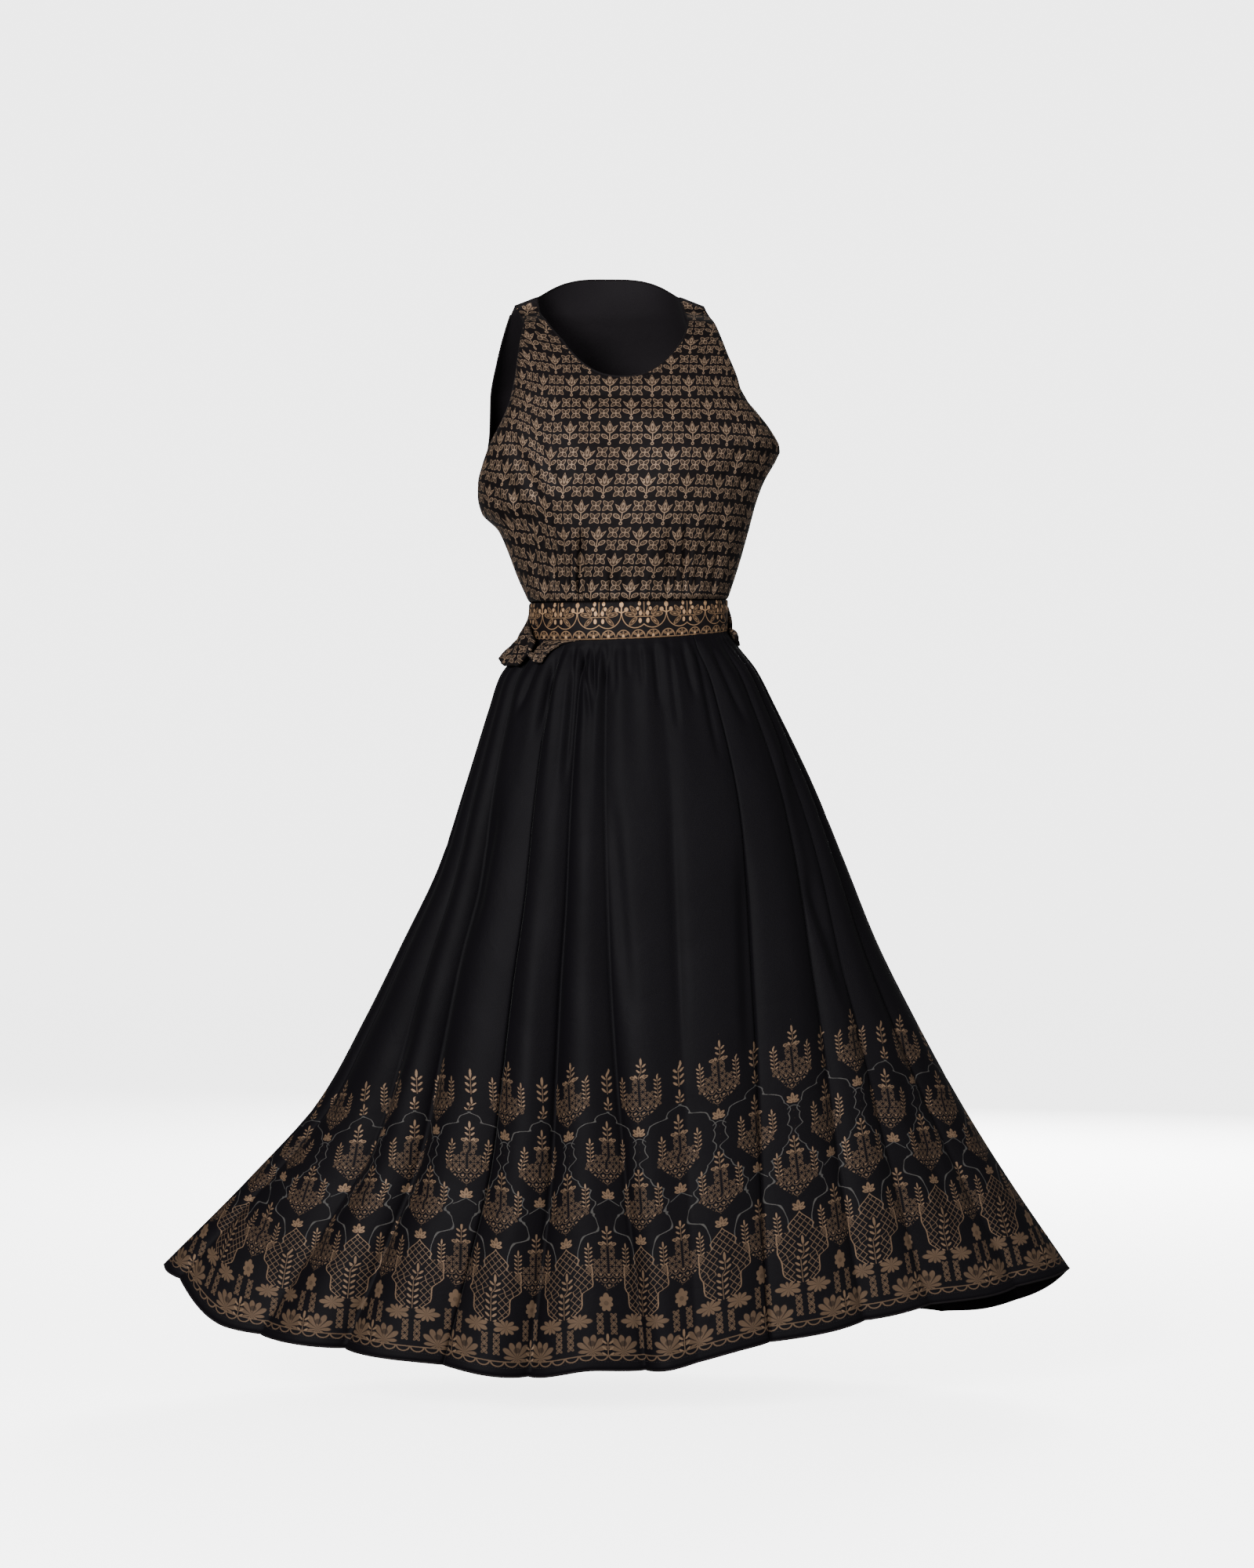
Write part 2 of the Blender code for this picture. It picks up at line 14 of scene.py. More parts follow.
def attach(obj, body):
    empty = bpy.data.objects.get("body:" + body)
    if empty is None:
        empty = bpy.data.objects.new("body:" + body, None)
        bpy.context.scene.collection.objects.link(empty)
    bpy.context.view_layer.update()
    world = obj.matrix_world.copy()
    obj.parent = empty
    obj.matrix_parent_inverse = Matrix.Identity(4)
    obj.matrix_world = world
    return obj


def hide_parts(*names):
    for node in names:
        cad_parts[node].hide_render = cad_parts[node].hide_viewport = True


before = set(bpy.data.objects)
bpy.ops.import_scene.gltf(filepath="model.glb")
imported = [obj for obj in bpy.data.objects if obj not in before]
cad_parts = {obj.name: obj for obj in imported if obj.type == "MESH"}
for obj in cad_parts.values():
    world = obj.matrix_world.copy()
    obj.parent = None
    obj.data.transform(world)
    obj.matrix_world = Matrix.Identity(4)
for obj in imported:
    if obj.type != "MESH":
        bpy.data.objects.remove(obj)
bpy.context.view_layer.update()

# Camera
# It stands 4 m in front of the dress, level with its middle, as the photographer's did. It is made first.
lens = bpy.data.cameras.new("camera")
lens.sensor_fit = "VERTICAL"
lens.sensor_height = 36.0
lens.lens = 80.0
camera = bpy.data.objects.new("camera", lens)
camera.location = (-0.0027, -4.0, -0.549)
camera.rotation_euler = (np.radians(90.0), 0.0, 0.0)
bpy.context.scene.collection.objects.link(camera)
bpy.context.scene.camera = camera

# Bodice back
# One panel of thin printed cloth with a high neck and narrow shoulders. It is cut straight, gathered
# along its foot and sewn into the waistband, so soft upright folds stand above the band.
MM = 0.001
WAIST_TUCK = 1.6 * MM
SEAM_ROUND = 4.0 * MM
SEAM_SINK = 0.9 * MM
THIN_CLOTH = 0.9 * MM
SEAM_GAP = 0.3 * MM
SEAM_ALLOWANCE = 5.0 * MM
SEAM_CLEAR = 0.05 * MM
SEAM_REACH = 0.6 * MM
SHOULDER_FROM = -0.05          # shoulder seams lie above this height
UNDERARMS_OVER = -0.30         # neck and armhole edges end above this one
TUCK_HEIGHT = 4.0 * MM
CREASE_STOPS = 0.012           # creases fade this near to a side seam
EDGE_STITCHES = 6.0 * MM
THREAD_WIDTH = 0.52 * MM
THREAD_HEIGHT = 0.20 * MM
BACK_ROUND = 0.34              # length round the back from seam to seam
BACK_HALF_WIDTH = 0.225        # half the width of the cut cloth
PRINT_START = -0.187           # height where a row of the print begins
BAND_TOP = -0.340
BAND_TOP_TILT = 0.002
BAND_TOP_DROOP = 0.004
SHOULDER_SEAM_Y = 0.008
BACK_NECK_RISE = 0.028
BACK_NECK_DEPTH = 0.058
BACK_NECK_OFFSET = 0.01
BACK_NECK_HALF_SHARE = 0.75
BACK_NECK_ROUNDNESS = 3.0
BACK_STRAP_RISE = 0.011
BACK_STRAP_SHARE = 0.25
BACK_SHOULDER_ROWS = 3.0
OVAL = 2.5
BODICE_GATHERS = 13
GATHER_DEPTH = 0.0035
GATHER_REACH = 0.075
GATHER_UNEVEN = 0.035
GATHER_UNEVEN_WAVES = 7.0
BAND_GRIP = 0.012
BACK_LAST = 12
BACK_WAIST_ROW = 8.0


def table_of(kind, *rows):
    """A table of named columns."""
    return [kind(*row) for row in rows]


EdgeRow = namedtuple("EdgeRow", "at left_x left_y left_z right_x right_y right_z rise")
BACK_ARMHOLES = table_of(EdgeRow,
    (0, -132, 8, 1, 86, 8, 0, 1.0), (1, -143, 30, -25, 97, 30, -24, 0.93), (2, -154, 44, -60, 113, 44, -56, 0.78),
    (3, -162, 48, -100, 130, 47, -90, 0.60), (4, -163, 45, -140, 147, 41, -120, 0.42),
    (5, -168, 33, -180, 163, 30, -148, 0.26), (6, -173, 15, -206, 172, 12, -168, 0.14))
SideRow = namedtuple("SideRow", "left_x left_z right_x right_z")
SIDE_SEAMS = table_of(SideRow,
    (-174, -220, 169, -177), (-170, -238, 155, -202), (-151, -258, 145, -229), (-140, -282, 137, -259),
    (-129, -311, 126, -298), (-115, -342, 113, -338))
DepthRow = namedtuple("DepthRow", "at front back")
DEPTHS = table_of(DepthRow,
    (-345, -101, 89), (-300, -112, 98), (-250, -121, 103), (-200, -124, 106), (-160, -119, 107), (-120, -107, 104),
    (-90, -92, 99), (-45, -60, 90), (-15, -28, 80), (0, -5, 72), (40, 8, 66))
Fold = namedtuple("Fold", "x top depth width")
BACK_FOLDS = table_of(Fold,
    (-90, -250, 5, 8), (-45, -270, 6, 8), (5, -290, 4, 7), (50, -265, 6, 8), (92, -255, 5, 8))

def read(table, column, at):
    """A table's column at places between its rows, on a smooth curve that never overshoots."""
    places = np.array([row.at for row in table], float)
    values = np.array([getattr(row, column) for row in table], float)
    steps = np.diff(places)
    rates = np.diff(values) / steps
    same_way = rates[:-1] * rates[1:] > 0
    sums = np.where(same_way, rates[:-1] + rates[1:], 1.0)
    inner = np.where(same_way, 2.0 * rates[:-1] * rates[1:] / sums, 0.0)
    slopes = np.concatenate([rates[:1], inner, rates[-1:]])
    cell = np.clip(np.searchsorted(places, at, side="right") - 1, 0, len(steps) - 1)
    s = np.clip((at - places[cell]) / steps[cell], 0.0, 1.0)
    rise = values[cell + 1] - values[cell]
    bend = (slopes[cell] * (1 - s) - slopes[cell + 1] * s) * steps[cell] * s * (1 - s)
    return values[cell] + rise * s * s * (3 - 2 * s) + bend


def with_sides(armholes):
    """A panel's edge table: the armhole rows, then the side seam rows."""
    first = len(armholes)
    return armholes + [
        EdgeRow(first + i, row.left_x, 0, row.left_z, row.right_x, 0, row.right_z, 0)
        for i, row in enumerate(SIDE_SEAMS)
    ]


def panel_edges(edges, row):
    """The left and the right edge of a panel at its rows, each as x, y and z."""
    return [[read(edges, side + axis, row) * MM for axis in ("_x", "_y", "_z")] for side in ("left", "right")]


def ease(start, end, at):
    """0 before start and 1 past end, with a smooth rise between them."""
    s = np.clip((at - start) / (end - start), 0.0, 1.0)
    return s * s * (3 - 2 * s)


def band_top(turn):
    """Height of the seam between bodice and waistband."""
    angle = np.radians(turn)
    return BAND_TOP - BAND_TOP_TILT * np.cos(angle) - BAND_TOP_DROOP * np.sin(angle).clip(min=0)


def folds(x, z, table, bottom):
    """How far the standing folds push the cloth in, fading towards their tops and the waistband."""
    push = np.zeros_like(x)
    for fold in table:
        top = fold.top * MM
        length = ease(top, (top + bottom) / 2, z) * (0.25 + 0.75 * ease(0.0, BAND_GRIP, z - bottom))
        push += fold.depth * MM * length * np.exp(-(((x - fold.x * MM) / (fold.width * MM)) ** 2))
    return push


def gathers(share, z, bottom, count):
    """Small waves that rise out of the waistband and die away above it."""
    height = z - bottom
    fade = (1 - ease(0.25 * GATHER_REACH, GATHER_REACH, height)) * (0.3 + 0.7 * ease(0.0, BAND_GRIP, height))
    beat = share + GATHER_UNEVEN * np.sin(GATHER_UNEVEN_WAVES * share)
    return GATHER_DEPTH * fade * (0.5 + 0.5 * np.cos(count * np.pi * beat))


def side_share(turn):
    """Place across the dress's oval plan: -1 at the left seam and 1 at the right one."""
    cosine = np.cos(np.radians(turn))
    return -np.sign(cosine) * np.abs(cosine) ** (2 / OVAL)


def level_foot(turn):
    """Height of a panel's last row before it follows the band: a level line between its corners."""
    left, right = SIDE_SEAMS[-1].left_z * MM, SIDE_SEAMS[-1].right_z * MM
    return left + (right - left) * (side_share(turn) + 1) / 2


def cloth_down(z, side):
    """Length of cloth down the panel at each height, which is more than the drop where the cloth leans."""
    heights = np.linspace(-0.36, 0.05, 206)
    depths = read(DEPTHS, side, heights / MM) * MM
    length = np.concatenate([[0.0], np.cumsum(np.hypot(np.diff(heights), np.diff(depths)))])
    return np.interp(z, heights, length) - np.interp(PRINT_START, heights, length)


def outwards(place, across, down, way):
    """Directions straight out of a bodice panel's smooth surface: way is 1 on the back and -1 on the front."""
    step = 0.002
    away = way * np.column_stack([np.cos(np.pi * across), np.sin(np.pi * across), 0 * across])
    along = place((across + step).clip(0, 1), down) - place((across - step).clip(0, 1), down)
    fall = place(across, (down + step).clip(0, 1)) - place(across, (down - step).clip(0, 1))
    straight = np.cross(along, fall)
    straight /= np.linalg.norm(straight, axis=1, keepdims=True).clip(min=1e-9)
    facing = np.sign((straight * away).sum(axis=1, keepdims=True))
    return straight * np.where(facing == 0, 1, facing)


def creases(table, x, z):
    """Soft troughs along slanting lines, in millimetres, deepest in their middles and fading at both ends."""
    sink = np.zeros_like(x)
    for row in table:
        run, drop = (row.foot_x - row.x) * MM, (row.foot - row.top) * MM
        length = np.hypot(run, drop)
        way = ((x - row.x * MM) * run + (z - row.top * MM) * drop) / length ** 2
        off = ((x - row.x * MM) * drop - (z - row.top * MM) * run) / length
        fade = ease(-0.12, 0.30, way) * (1 - ease(0.70, 1.12, way))
        sink += row.depth * MM * fade * np.exp(-((off / (row.width * MM)) ** 2))
    return sink


def seam_sink(distance):
    """Cloth drawn in beside a seam, by its distance from the seam."""
    return SEAM_SINK * (1 - ease(0.0, SEAM_ROUND, distance))


def waist_tuck(z, turn):
    """How far the cloth is tucked in just over the waistband, whose edge then lies over it."""
    return WAIST_TUCK * (1 - ease(0.0, TUCK_HEIGHT, z - band_top(turn)))


def cloth(name, columns, rows, place, thickness, uv, finishes, keep=None, without=None):
    """A thin shell: a grid laid on the function place, thickened inwards, with cloth lengths as its UV map.

    Its finishes are for the outer face and the inner one. keep moves points and without leaves a hole.
    """
    bm = bmesh.new()
    bmesh.ops.create_grid(bm, x_segments=columns, y_segments=rows, size=1.0)
    across = np.array([vert.co.x * 0.5 + 0.5 for vert in bm.verts])
    down = np.array([0.5 - vert.co.y * 0.5 for vert in bm.verts])
    if without:
        middles = [f.calc_center_median() for f in bm.faces]
        cut = [f for f, m in zip(bm.faces, middles) if without(m.x * 0.5 + 0.5, 0.5 - m.y * 0.5)]
    points = place(across, down)
    lengths = uv(across, down)
    if keep:
        points = keep(points)
    bm.verts.index_update()
    for vert, point in zip(bm.verts, points):
        vert.co = point
    layer = bm.loops.layers.uv.new("Cloth")
    for face in bm.faces:
        for loop in face.loops:
            loop[layer].uv = lengths[loop.vert.index]
    if without:
        bmesh.ops.delete(bm, geom=cut, context="FACES")
    obj = add_object(name, bm, finishes)
    wall = obj.modifiers.new("Wall", "SOLIDIFY")
    wall.thickness = thickness
    wall.offset = -1.0
    wall.material_offset = 1
    wall.material_offset_rim = 1
    return obj


Run = namedtuple("Run", "points out into")


def open_edges(piece, wanted):
    """Runs along a cloth's edge: points, directions out of the cloth, and directions into it along its face."""
    bm = bmesh.new()
    bm.from_mesh(piece.data)
    bm.normal_update()
    left = [edge for edge in bm.edges if edge.is_boundary and all(wanted(vert) for vert in edge.verts)]
    runs = []
    while left:
        kept = set(left)
        ends = [vert for edge in left for vert in edge.verts if sum(e in kept for e in vert.link_edges) == 1]
        vert = ends[0] if ends else left[0].verts[0]
        run, into = [vert], []
        while any(edge in kept for edge in vert.link_edges):
            edge = next(edge for edge in vert.link_edges if edge in kept)
            kept.remove(edge)
            into.append(edge.link_faces[0].calc_center_median() - (edge.verts[0].co + edge.verts[1].co) / 2)
            vert = edge.other_vert(vert)
            run.append(vert)
        left = [edge for edge in left if edge in kept]
        points = np.array([vert.co for vert in run])
        out = np.array([vert.normal for vert in run])
        side = np.cross(out, np.gradient(points, axis=0))
        side /= np.linalg.norm(side, axis=1, keepdims=True).clip(min=1e-9)
        side *= np.sign((side * np.array(into + into[-1:])).sum(axis=1, keepdims=True))
        runs.append(Run(points, out, side))
    bm.free()
    return runs


def add_object(name, bm, finishes):
    """A finished mesh as an object of the scene."""
    for face in bm.faces:
        face.smooth = True
    mesh = bpy.data.meshes.new(name)
    bm.to_mesh(mesh)
    bm.free()
    for finish in finishes:
        mesh.materials.append(finish)
    obj = bpy.data.objects.new(name, mesh)
    bpy.context.scene.collection.objects.link(obj)
    return obj


def turned_edge(name, runs, finish, radius=0.85 * MM):
    """The rounded fold where an edge is turned under: a soft tube along each run."""
    bm = bmesh.new()
    for run in runs:
        last = len(run.points) - 1
        for vert in bmesh.ops.create_grid(bm, x_segments=last, y_segments=8, size=1.0)["verts"]:
            at = round((vert.co.x * 0.5 + 0.5) * last)
            turn = np.pi * vert.co.y
            middle = run.points[at] - run.out[at] * THIN_CLOTH / 2 + run.into[at] * radius
            vert.co = middle + radius * (np.cos(turn) * run.out[at] + 1.5 * np.sin(turn) * run.into[at])
    bmesh.ops.remove_doubles(bm, verts=bm.verts, dist=1e-6)
    bmesh.ops.holes_fill(bm, edges=[edge for edge in bm.edges if edge.is_boundary], sides=16)
    bmesh.ops.recalc_face_normals(bm, faces=bm.faces)
    return add_object(name, bm, [finish])


def stitches(name, piece, runs, inset, finish, length=2.4 * MM, pitch=3.4 * MM):
    """A row of sewn stitches set back from each run, each a small grain of thread pulled into the cloth's face."""
    mesh = piece.data
    face = BVHTree.FromPolygons([vert.co for vert in mesh.vertices], [part.vertices for part in mesh.polygons])
    bm = bmesh.new()
    for run in runs:
        passed = np.concatenate([[0.0], np.cumsum(np.linalg.norm(np.diff(run.points, axis=0), axis=1))])
        for at in np.arange(pitch, passed[-1] - pitch / 2, pitch):
            point, out, into = (Vector([np.interp(at, passed, column) for column in part.T]) for part in run)
            where, out = face.find_nearest(point + into * inset)[:2]
            along = out.cross(into).normalized()
            sides = (along * length / 2, out.cross(along) * THREAD_WIDTH / 2, out * THREAD_HEIGHT)
            grain = Matrix.Translation(where) @ Matrix(sides).transposed().to_4x4()
            bmesh.ops.create_icosphere(bm, subdivisions=1, radius=1.0, matrix=grain)
    return add_object(name, bm, [finish])


def stands_for(piece, node, sewn_on=()):
    """Parents a piece of cloth and what is sewn on it to the root, and hides the solid that the piece stands for.
    """
    for each in (piece, *sewn_on):
        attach(each, "root")
    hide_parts(node)


def bodice_back_points(across, down):
    """Outer face of the back panel, running from the right side to the left one."""
    row = down * BACK_LAST
    edges = with_sides(BACK_ARMHOLES)
    turn = 180.0 + 180.0 * across
    share = side_share(turn)
    swell = np.abs(np.sin(np.radians(turn))) ** (2 / OVAL)
    left, right = panel_edges(edges, row)
    x, edge_y, z = (a + (b - a) * (share + 1) / 2 for a, b in zip(left, right))

    # The back neck climbs from the straps to the nape, and each lower row climbs less
    neck = ((share + BACK_NECK_OFFSET) / BACK_NECK_HALF_SHARE).clip(-1, 1)
    strap_way = ((1 - np.abs(share)) / BACK_STRAP_SHARE).clip(0, 1)
    rise = read(edges, "rise", row)
    z = z + rise * (BACK_STRAP_RISE * strap_way + BACK_NECK_RISE * (1 - np.abs(neck) ** BACK_NECK_ROUNDNESS))
    body_y = edge_y + (read(DEPTHS, "back", z / MM) * MM - edge_y) * swell
    neck_y = SHOULDER_SEAM_Y + SEAM_GAP / 2 + BACK_NECK_DEPTH * np.sqrt(1 - neck ** 2)
    y = neck_y + (body_y - neck_y) * ease(0.0, BACK_SHOULDER_ROWS, row)

    z = z + ease(BACK_WAIST_ROW, BACK_LAST, row) * (band_top(turn) + SEAM_GAP - level_foot(turn))
    inward = folds(x, z, BACK_FOLDS, BAND_TOP) + gathers(share, z, BAND_TOP, BODICE_GATHERS)
    y = y - inward * swell
    return np.column_stack([x, y, z])


Crease = namedtuple("Crease", "x top foot_x foot depth width")
BACK_CREASES = table_of(Crease,
    (-110, -90, -96, -200, 3.0, 6), (-60, -300, -66, -338, 2.5, 3), (20, -296, 24, -338, 2.5, 3),
    (74, -292, 80, -338, 2.5, 3), (112, -120, 100, -214, 2.6, 6), (-30, -60, 34, -66, 1.2, 9),
    (-74, -210, -20, -236, 1.4, 8), (76, -196, 26, -226, 1.4, 8))


def back_place(across, down):
    """The back panel's outer face with its creases, drawn in at the sides and tucked behind the waistband."""
    points = bodice_back_points(across, down)
    push = creases(BACK_CREASES, points[:, 0], points[:, 2])
    edge = np.minimum(across, 1 - across) * BACK_ROUND
    push = push * ease(0.0, CREASE_STOPS, edge) + seam_sink(edge)
    push = push + waist_tuck(points[:, 2], 180.0 + 180.0 * across)
    return points - outwards(bodice_back_points, across, down, 1) * push[:, None]


def back_cloth(across, down):
    """Cloth lengths across and down the back."""
    points = bodice_back_points(across, down)
    turn = 180.0 + 180.0 * across
    return np.column_stack([side_share(turn) * BACK_HALF_WIDTH, cloth_down(points[:, 2], "back")])


def kept_from_seams(way):
    """Keeps a panel on its own side of the side and shoulder seams: way is 1 for the back and -1 for the front."""
    def keep(points):
        seam = np.where(points[:, 2] > SHOULDER_FROM, SHOULDER_SEAM_Y, 0.0)
        points[:, 1] = way * np.maximum(way * points[:, 1], way * seam + SEAM_CLEAR)
        return points
    return keep


class Shade:
    """A shader number that takes ordinary arithmetic: each operation adds its Math node."""

    def __init__(self, tree, socket=None):
        self.tree = tree
        self.socket = socket

    def node(self, kind, settings, values, output=0):
        made = self.tree.nodes.new(kind)
        for name, value in settings.items():
            setattr(made, name, value)
        for name, value in values.items():
            if isinstance(value, Shade):
                self.tree.links.new(value.socket, made.inputs[name])
            else:
                made.inputs[name].default_value = value
        return Shade(self.tree, made.outputs[output])

    def maths(self, operation, *values, clamp=False):
        return self.node("ShaderNodeMath", {"operation": operation, "use_clamp": clamp}, dict(enumerate(values)))

    def ramp(self, stops, x):
        """A straight-line graph through up to 32 stops, each a place and a height, both from 0 to 1."""
        made = self.node("ShaderNodeValToRGB", {}, {"Fac": x})
        graph = made.socket.node.color_ramp
        graph.interpolation = "CARDINAL"
        for place, height in stops[1:-1]:
            graph.elements.new(place)
        for element, (place, height) in zip(graph.elements, stops):
            element.position = place
            element.color = (height, height, height, 1.0)
        return made

    def __neg__(self):
        return self.maths("MULTIPLY", self, -1.0)


for sign, operation in (("add", "ADD"), ("sub", "SUBTRACT"), ("mul", "MULTIPLY"), ("truediv", "DIVIDE")):
    setattr(Shade, f"__{sign}__", lambda a, b, operation=operation: a.maths(operation, a, b))
    setattr(Shade, f"__r{sign}__", lambda a, b, operation=operation: a.maths(operation, b, a))


def by_node(operation):
    """A function of shader numbers that one Math node works out."""
    return lambda *values: next(v for v in values if isinstance(v, Shade)).maths(operation, *values)


floor, absol, sine, cosine, high, low, above, turn_of = map(by_node, (
    "FLOOR", "ABSOLUTE", "SINE", "COSINE", "MAXIMUM", "MINIMUM", "GREATER_THAN", "ARCTAN2"))


def centred(x):
    """Place in a repeat, from -0.5 to 0.5."""
    return x - floor(x) - 0.5


def reach(x, y):
    """Distance from the origin."""
    joined = x.node("ShaderNodeCombineXYZ", {}, {"X": x, "Y": y})
    return x.node("ShaderNodeVectorMath", {"operation": "LENGTH"}, {0: joined}, output="Value")


def step_in(x, edge, soft):
    """1 where x is under the edge and 0 past it, blurred over soft."""
    if isinstance(edge, Shade):
        return x.maths("MULTIPLY_ADD", edge - x, 1 / soft, 0.5, clamp=True)
    return x.maths("MULTIPLY_ADD", x, -1 / soft, edge / soft + 0.5, clamp=True)


def step_out(x, edge, soft):
    """0 where x is under the edge and 1 past it, blurred over soft."""
    if isinstance(edge, Shade):
        return x.maths("MULTIPLY_ADD", x - edge, 1 / soft, 0.5, clamp=True)
    return x.maths("MULTIPLY_ADD", x, 1 / soft, 0.5 - edge / soft, clamp=True)


def ring(x, inner, outer, soft):
    """1 between two distances."""
    return step_out(x, inner, soft) * step_in(x, outer, soft)


def choose(a, b, which):
    """a where which is 0, and b where it is 1."""
    return a + (b - a) * which


def leaf(x, y, at_x, at_y, lean, long, wide):
    """Inside a pointed leaf: above 0 inside it, 1 in its middle."""
    along = (x - at_x) * lean[0] + (y - at_y) * lean[1]
    over = (y - at_y) * lean[0] - (x - at_x) * lean[1]
    return 1 - reach(along / long, over / wide)


FOIL_METAL = 0.3
PRINT_REPEAT = 48.0
PRINT_ROW = 29.7


def bodice_print(u, v):
    """Rows of tulips and four-flower clusters in outline, every other row moved half a repeat."""
    row = floor(v / PRINT_ROW)
    y = (v / PRINT_ROW - row - 0.5) * 29.2
    # a is 0 in the tulip's middle and 23 in the cluster's, and c the other way round
    a = 23.0 - absol(centred(u / PRINT_REPEAT + row * 0.5)) * 46.0
    c = 23.0 - a
    fx = absol(c - 6.6)
    fy = absol(absol(y) - 6.9)
    p = (fx + fy) * 0.7071 - 3.9
    q = (fx - fy) * 0.7071
    r = reach(p / 3.8, q / (2.35 - 0.2 * p))
    cluster = step_in(r, 0.97, 0.14) * (1 - 0.90 * step_in(r, 0.72, 0.14)) + 0.15 * step_in(r, 0.22, 0.15)
    top = high(13.8 - 2.1 * a, 4.0 + 0.55 * a)
    bottom = -1.0 + 0.125 * a * a
    inside = low(top - y, (y - bottom) * 0.8)
    cup = step_out(inside, 0.0, 0.3) * (1 - 0.85 * step_out(inside, 0.85, 0.3)) * step_in(a, 8.9, 0.3)
    seed = ring(reach(a / 1.8, (y - 6.0) / 4.6), 0.45, 1.0, 0.15)
    dots = step_in(reach(a - 3.7, (y - 3.6) * 0.7), 1.1, 0.3)
    stem = step_in(a, 0.55, 0.2) * step_in(absol(y + 6.0), 5.0, 0.2)
    side = leaf(a, y, 5.6, -4.4, (0.87, 0.5), 4.3, 2.4)
    leaves = step_out(side, 0.02, 0.12) * (1 - 0.85 * step_out(side, 0.30, 0.12)) + 0.45 * step_out(side, 0.80, 0.1)
    twig = step_in(absol(y + 9.4 - 0.95 * a), 0.55, 0.2) * step_in(a, 2.8, 0.3)
    ball = ring(reach(a, y + 12.4), 0.8, 1.9, 0.3)
    tulip = high(high(high(cup, seed), high(dots, stem)), high(high(leaves, twig), ball))
    return choose(tulip, cluster, above(a, 10.2))


def woven(name, ground, rough, gloss=0.06, draw=None):
    """Thin woven cloth, a little uneven in colour and crumpled.

    draw takes the cloth lengths across and down, and gives masks with the foil colours printed there.
    """
    made = bpy.data.materials.new(name)
    made.use_nodes = True
    tree = made.node_tree
    shader = tree.nodes["Principled BSDF"]
    for name, value in {"Specular IOR Level": gloss, "Sheen Weight": 0.012, "Sheen Roughness": 0.4}.items():
        shader.inputs[name].default_value = value
    start = Shade(tree)
    place = start.node("ShaderNodeTexCoord", {}, {}, output="Object")
    cloudy, threads, crumple, worn = (
        start.node("ShaderNodeTexNoise", {}, {"Vector": place, "Scale": scale, "Detail": detail,
                                              "Distortion": distortion})
        for scale, detail, distortion in ((14.0, 3.0, 0.0), (1500.0, 1.0, 0.0), (55.0, 3.0, 0.6), (70.0, 4.0, 0.0)))
    relief = {"Height": threads + crumple * 5.0, "Strength": 0.30, "Distance": 0.0004}
    bump = start.node("ShaderNodeBump", {}, relief, output="Normal")
    darker = tuple(part * 0.72 for part in ground) + (1.0,)
    colour = start.node("ShaderNodeMix", {"data_type": "RGBA"}, {0: cloudy, 6: darker, 7: ground + (1.0,)},
                        output=2)
    roughness = rough - 0.12 * cloudy
    if draw:
        lengths = start.node("ShaderNodeUVMap", {"uv_map": "Cloth"}, {})
        across, down = (start.node("ShaderNodeSeparateXYZ", {}, {"Vector": lengths}, output=axis) for axis in "XY")
        for mask, foil in draw(across, down):
            mask = mask * (0.70 + 0.50 * worn)
            colour = start.node("ShaderNodeMix", {"data_type": "RGBA"}, {0: mask, 6: colour, 7: foil + (1.0,)},
                                output=2)
            roughness = roughness - 0.14 * mask
        tree.links.new((mask * FOIL_METAL).socket, shader.inputs["Metallic"])
    for name, value in {"Normal": bump, "Base Color": colour, "Roughness": roughness}.items():
        tree.links.new(value.socket, shader.inputs[name])
    return made


def tulips(across, down):
    """Outlined tulips and flowers in bronze, over cloth lengths in metres."""
    return [(bodice_print(across * 1000.0, down * 1000.0 + PRINT_ROW / 2), BRONZE)]


INK = (0.0034, 0.0024, 0.0026)
BRONZE = (0.145, 0.098, 0.066)
printed_cloth = woven("printed_bodice_weave", INK, 0.72, draw=tulips)
reverse_cloth = woven("cloth_reverse", (0.006, 0.005, 0.006), 0.85)
edge_cloth = woven("turned_edge_weave", (0.005, 0.004, 0.0045), 0.75)
thread = woven("dark_sewing_thread", (0.012, 0.010, 0.011), 0.5)


def is_open(vert):
    """True on a bodice panel's neck and armhole edges, and false at its seams and foot."""
    seam = SHOULDER_SEAM_Y if vert.co.z > SHOULDER_FROM else 0.0
    return vert.co.z > UNDERARMS_OVER and abs(vert.co.y - seam) > SEAM_REACH


bodice_back = cloth("bodice_back_cloth", 168, 144, back_place, THIN_CLOTH, back_cloth,
                    [printed_cloth, reverse_cloth], keep=kept_from_seams(1))
runs = open_edges(bodice_back, is_open)
stands_for(bodice_back, "bodice_back",
           sewn_on=[turned_edge("bodice_back_turned_edges", runs, edge_cloth),
                    stitches("bodice_back_edge_stitches", bodice_back, runs, EDGE_STITCHES, thread)])

# Bodice front
# One panel on the fold with a scooped neck, cut from the same cloth with the print upright. Its foot is
# gathered like the back's; the fullness gives deep folds either side of the middle and many small ones at the left.
STRAP_FOOT_AT = 4.0
NECK_SHARE_LEFT = -0.58
NECK_SHARE_RIGHT = 0.57
NECK_SCOOP = 0.046
NECK_ROUNDNESS = 2.4
SCOOP_FADES_AT = 10.0
FRONT_SHOULDER_ROWS = 2.0
BUST_PLACE = 0.068
BUST_HEIGHT = -0.190
BUST_FULLNESS = 0.009
BUST_WIDTH = 0.045
BUST_LENGTH = 0.055
FRONT_ROUND = 0.36             # length round the front from seam to seam
FRONT_BLOCKS = (8, 28, 8)      # columns of the left strap, the neck and the right strap
FRONT_LAST = 16
FRONT_WAIST_ROW = 12.0
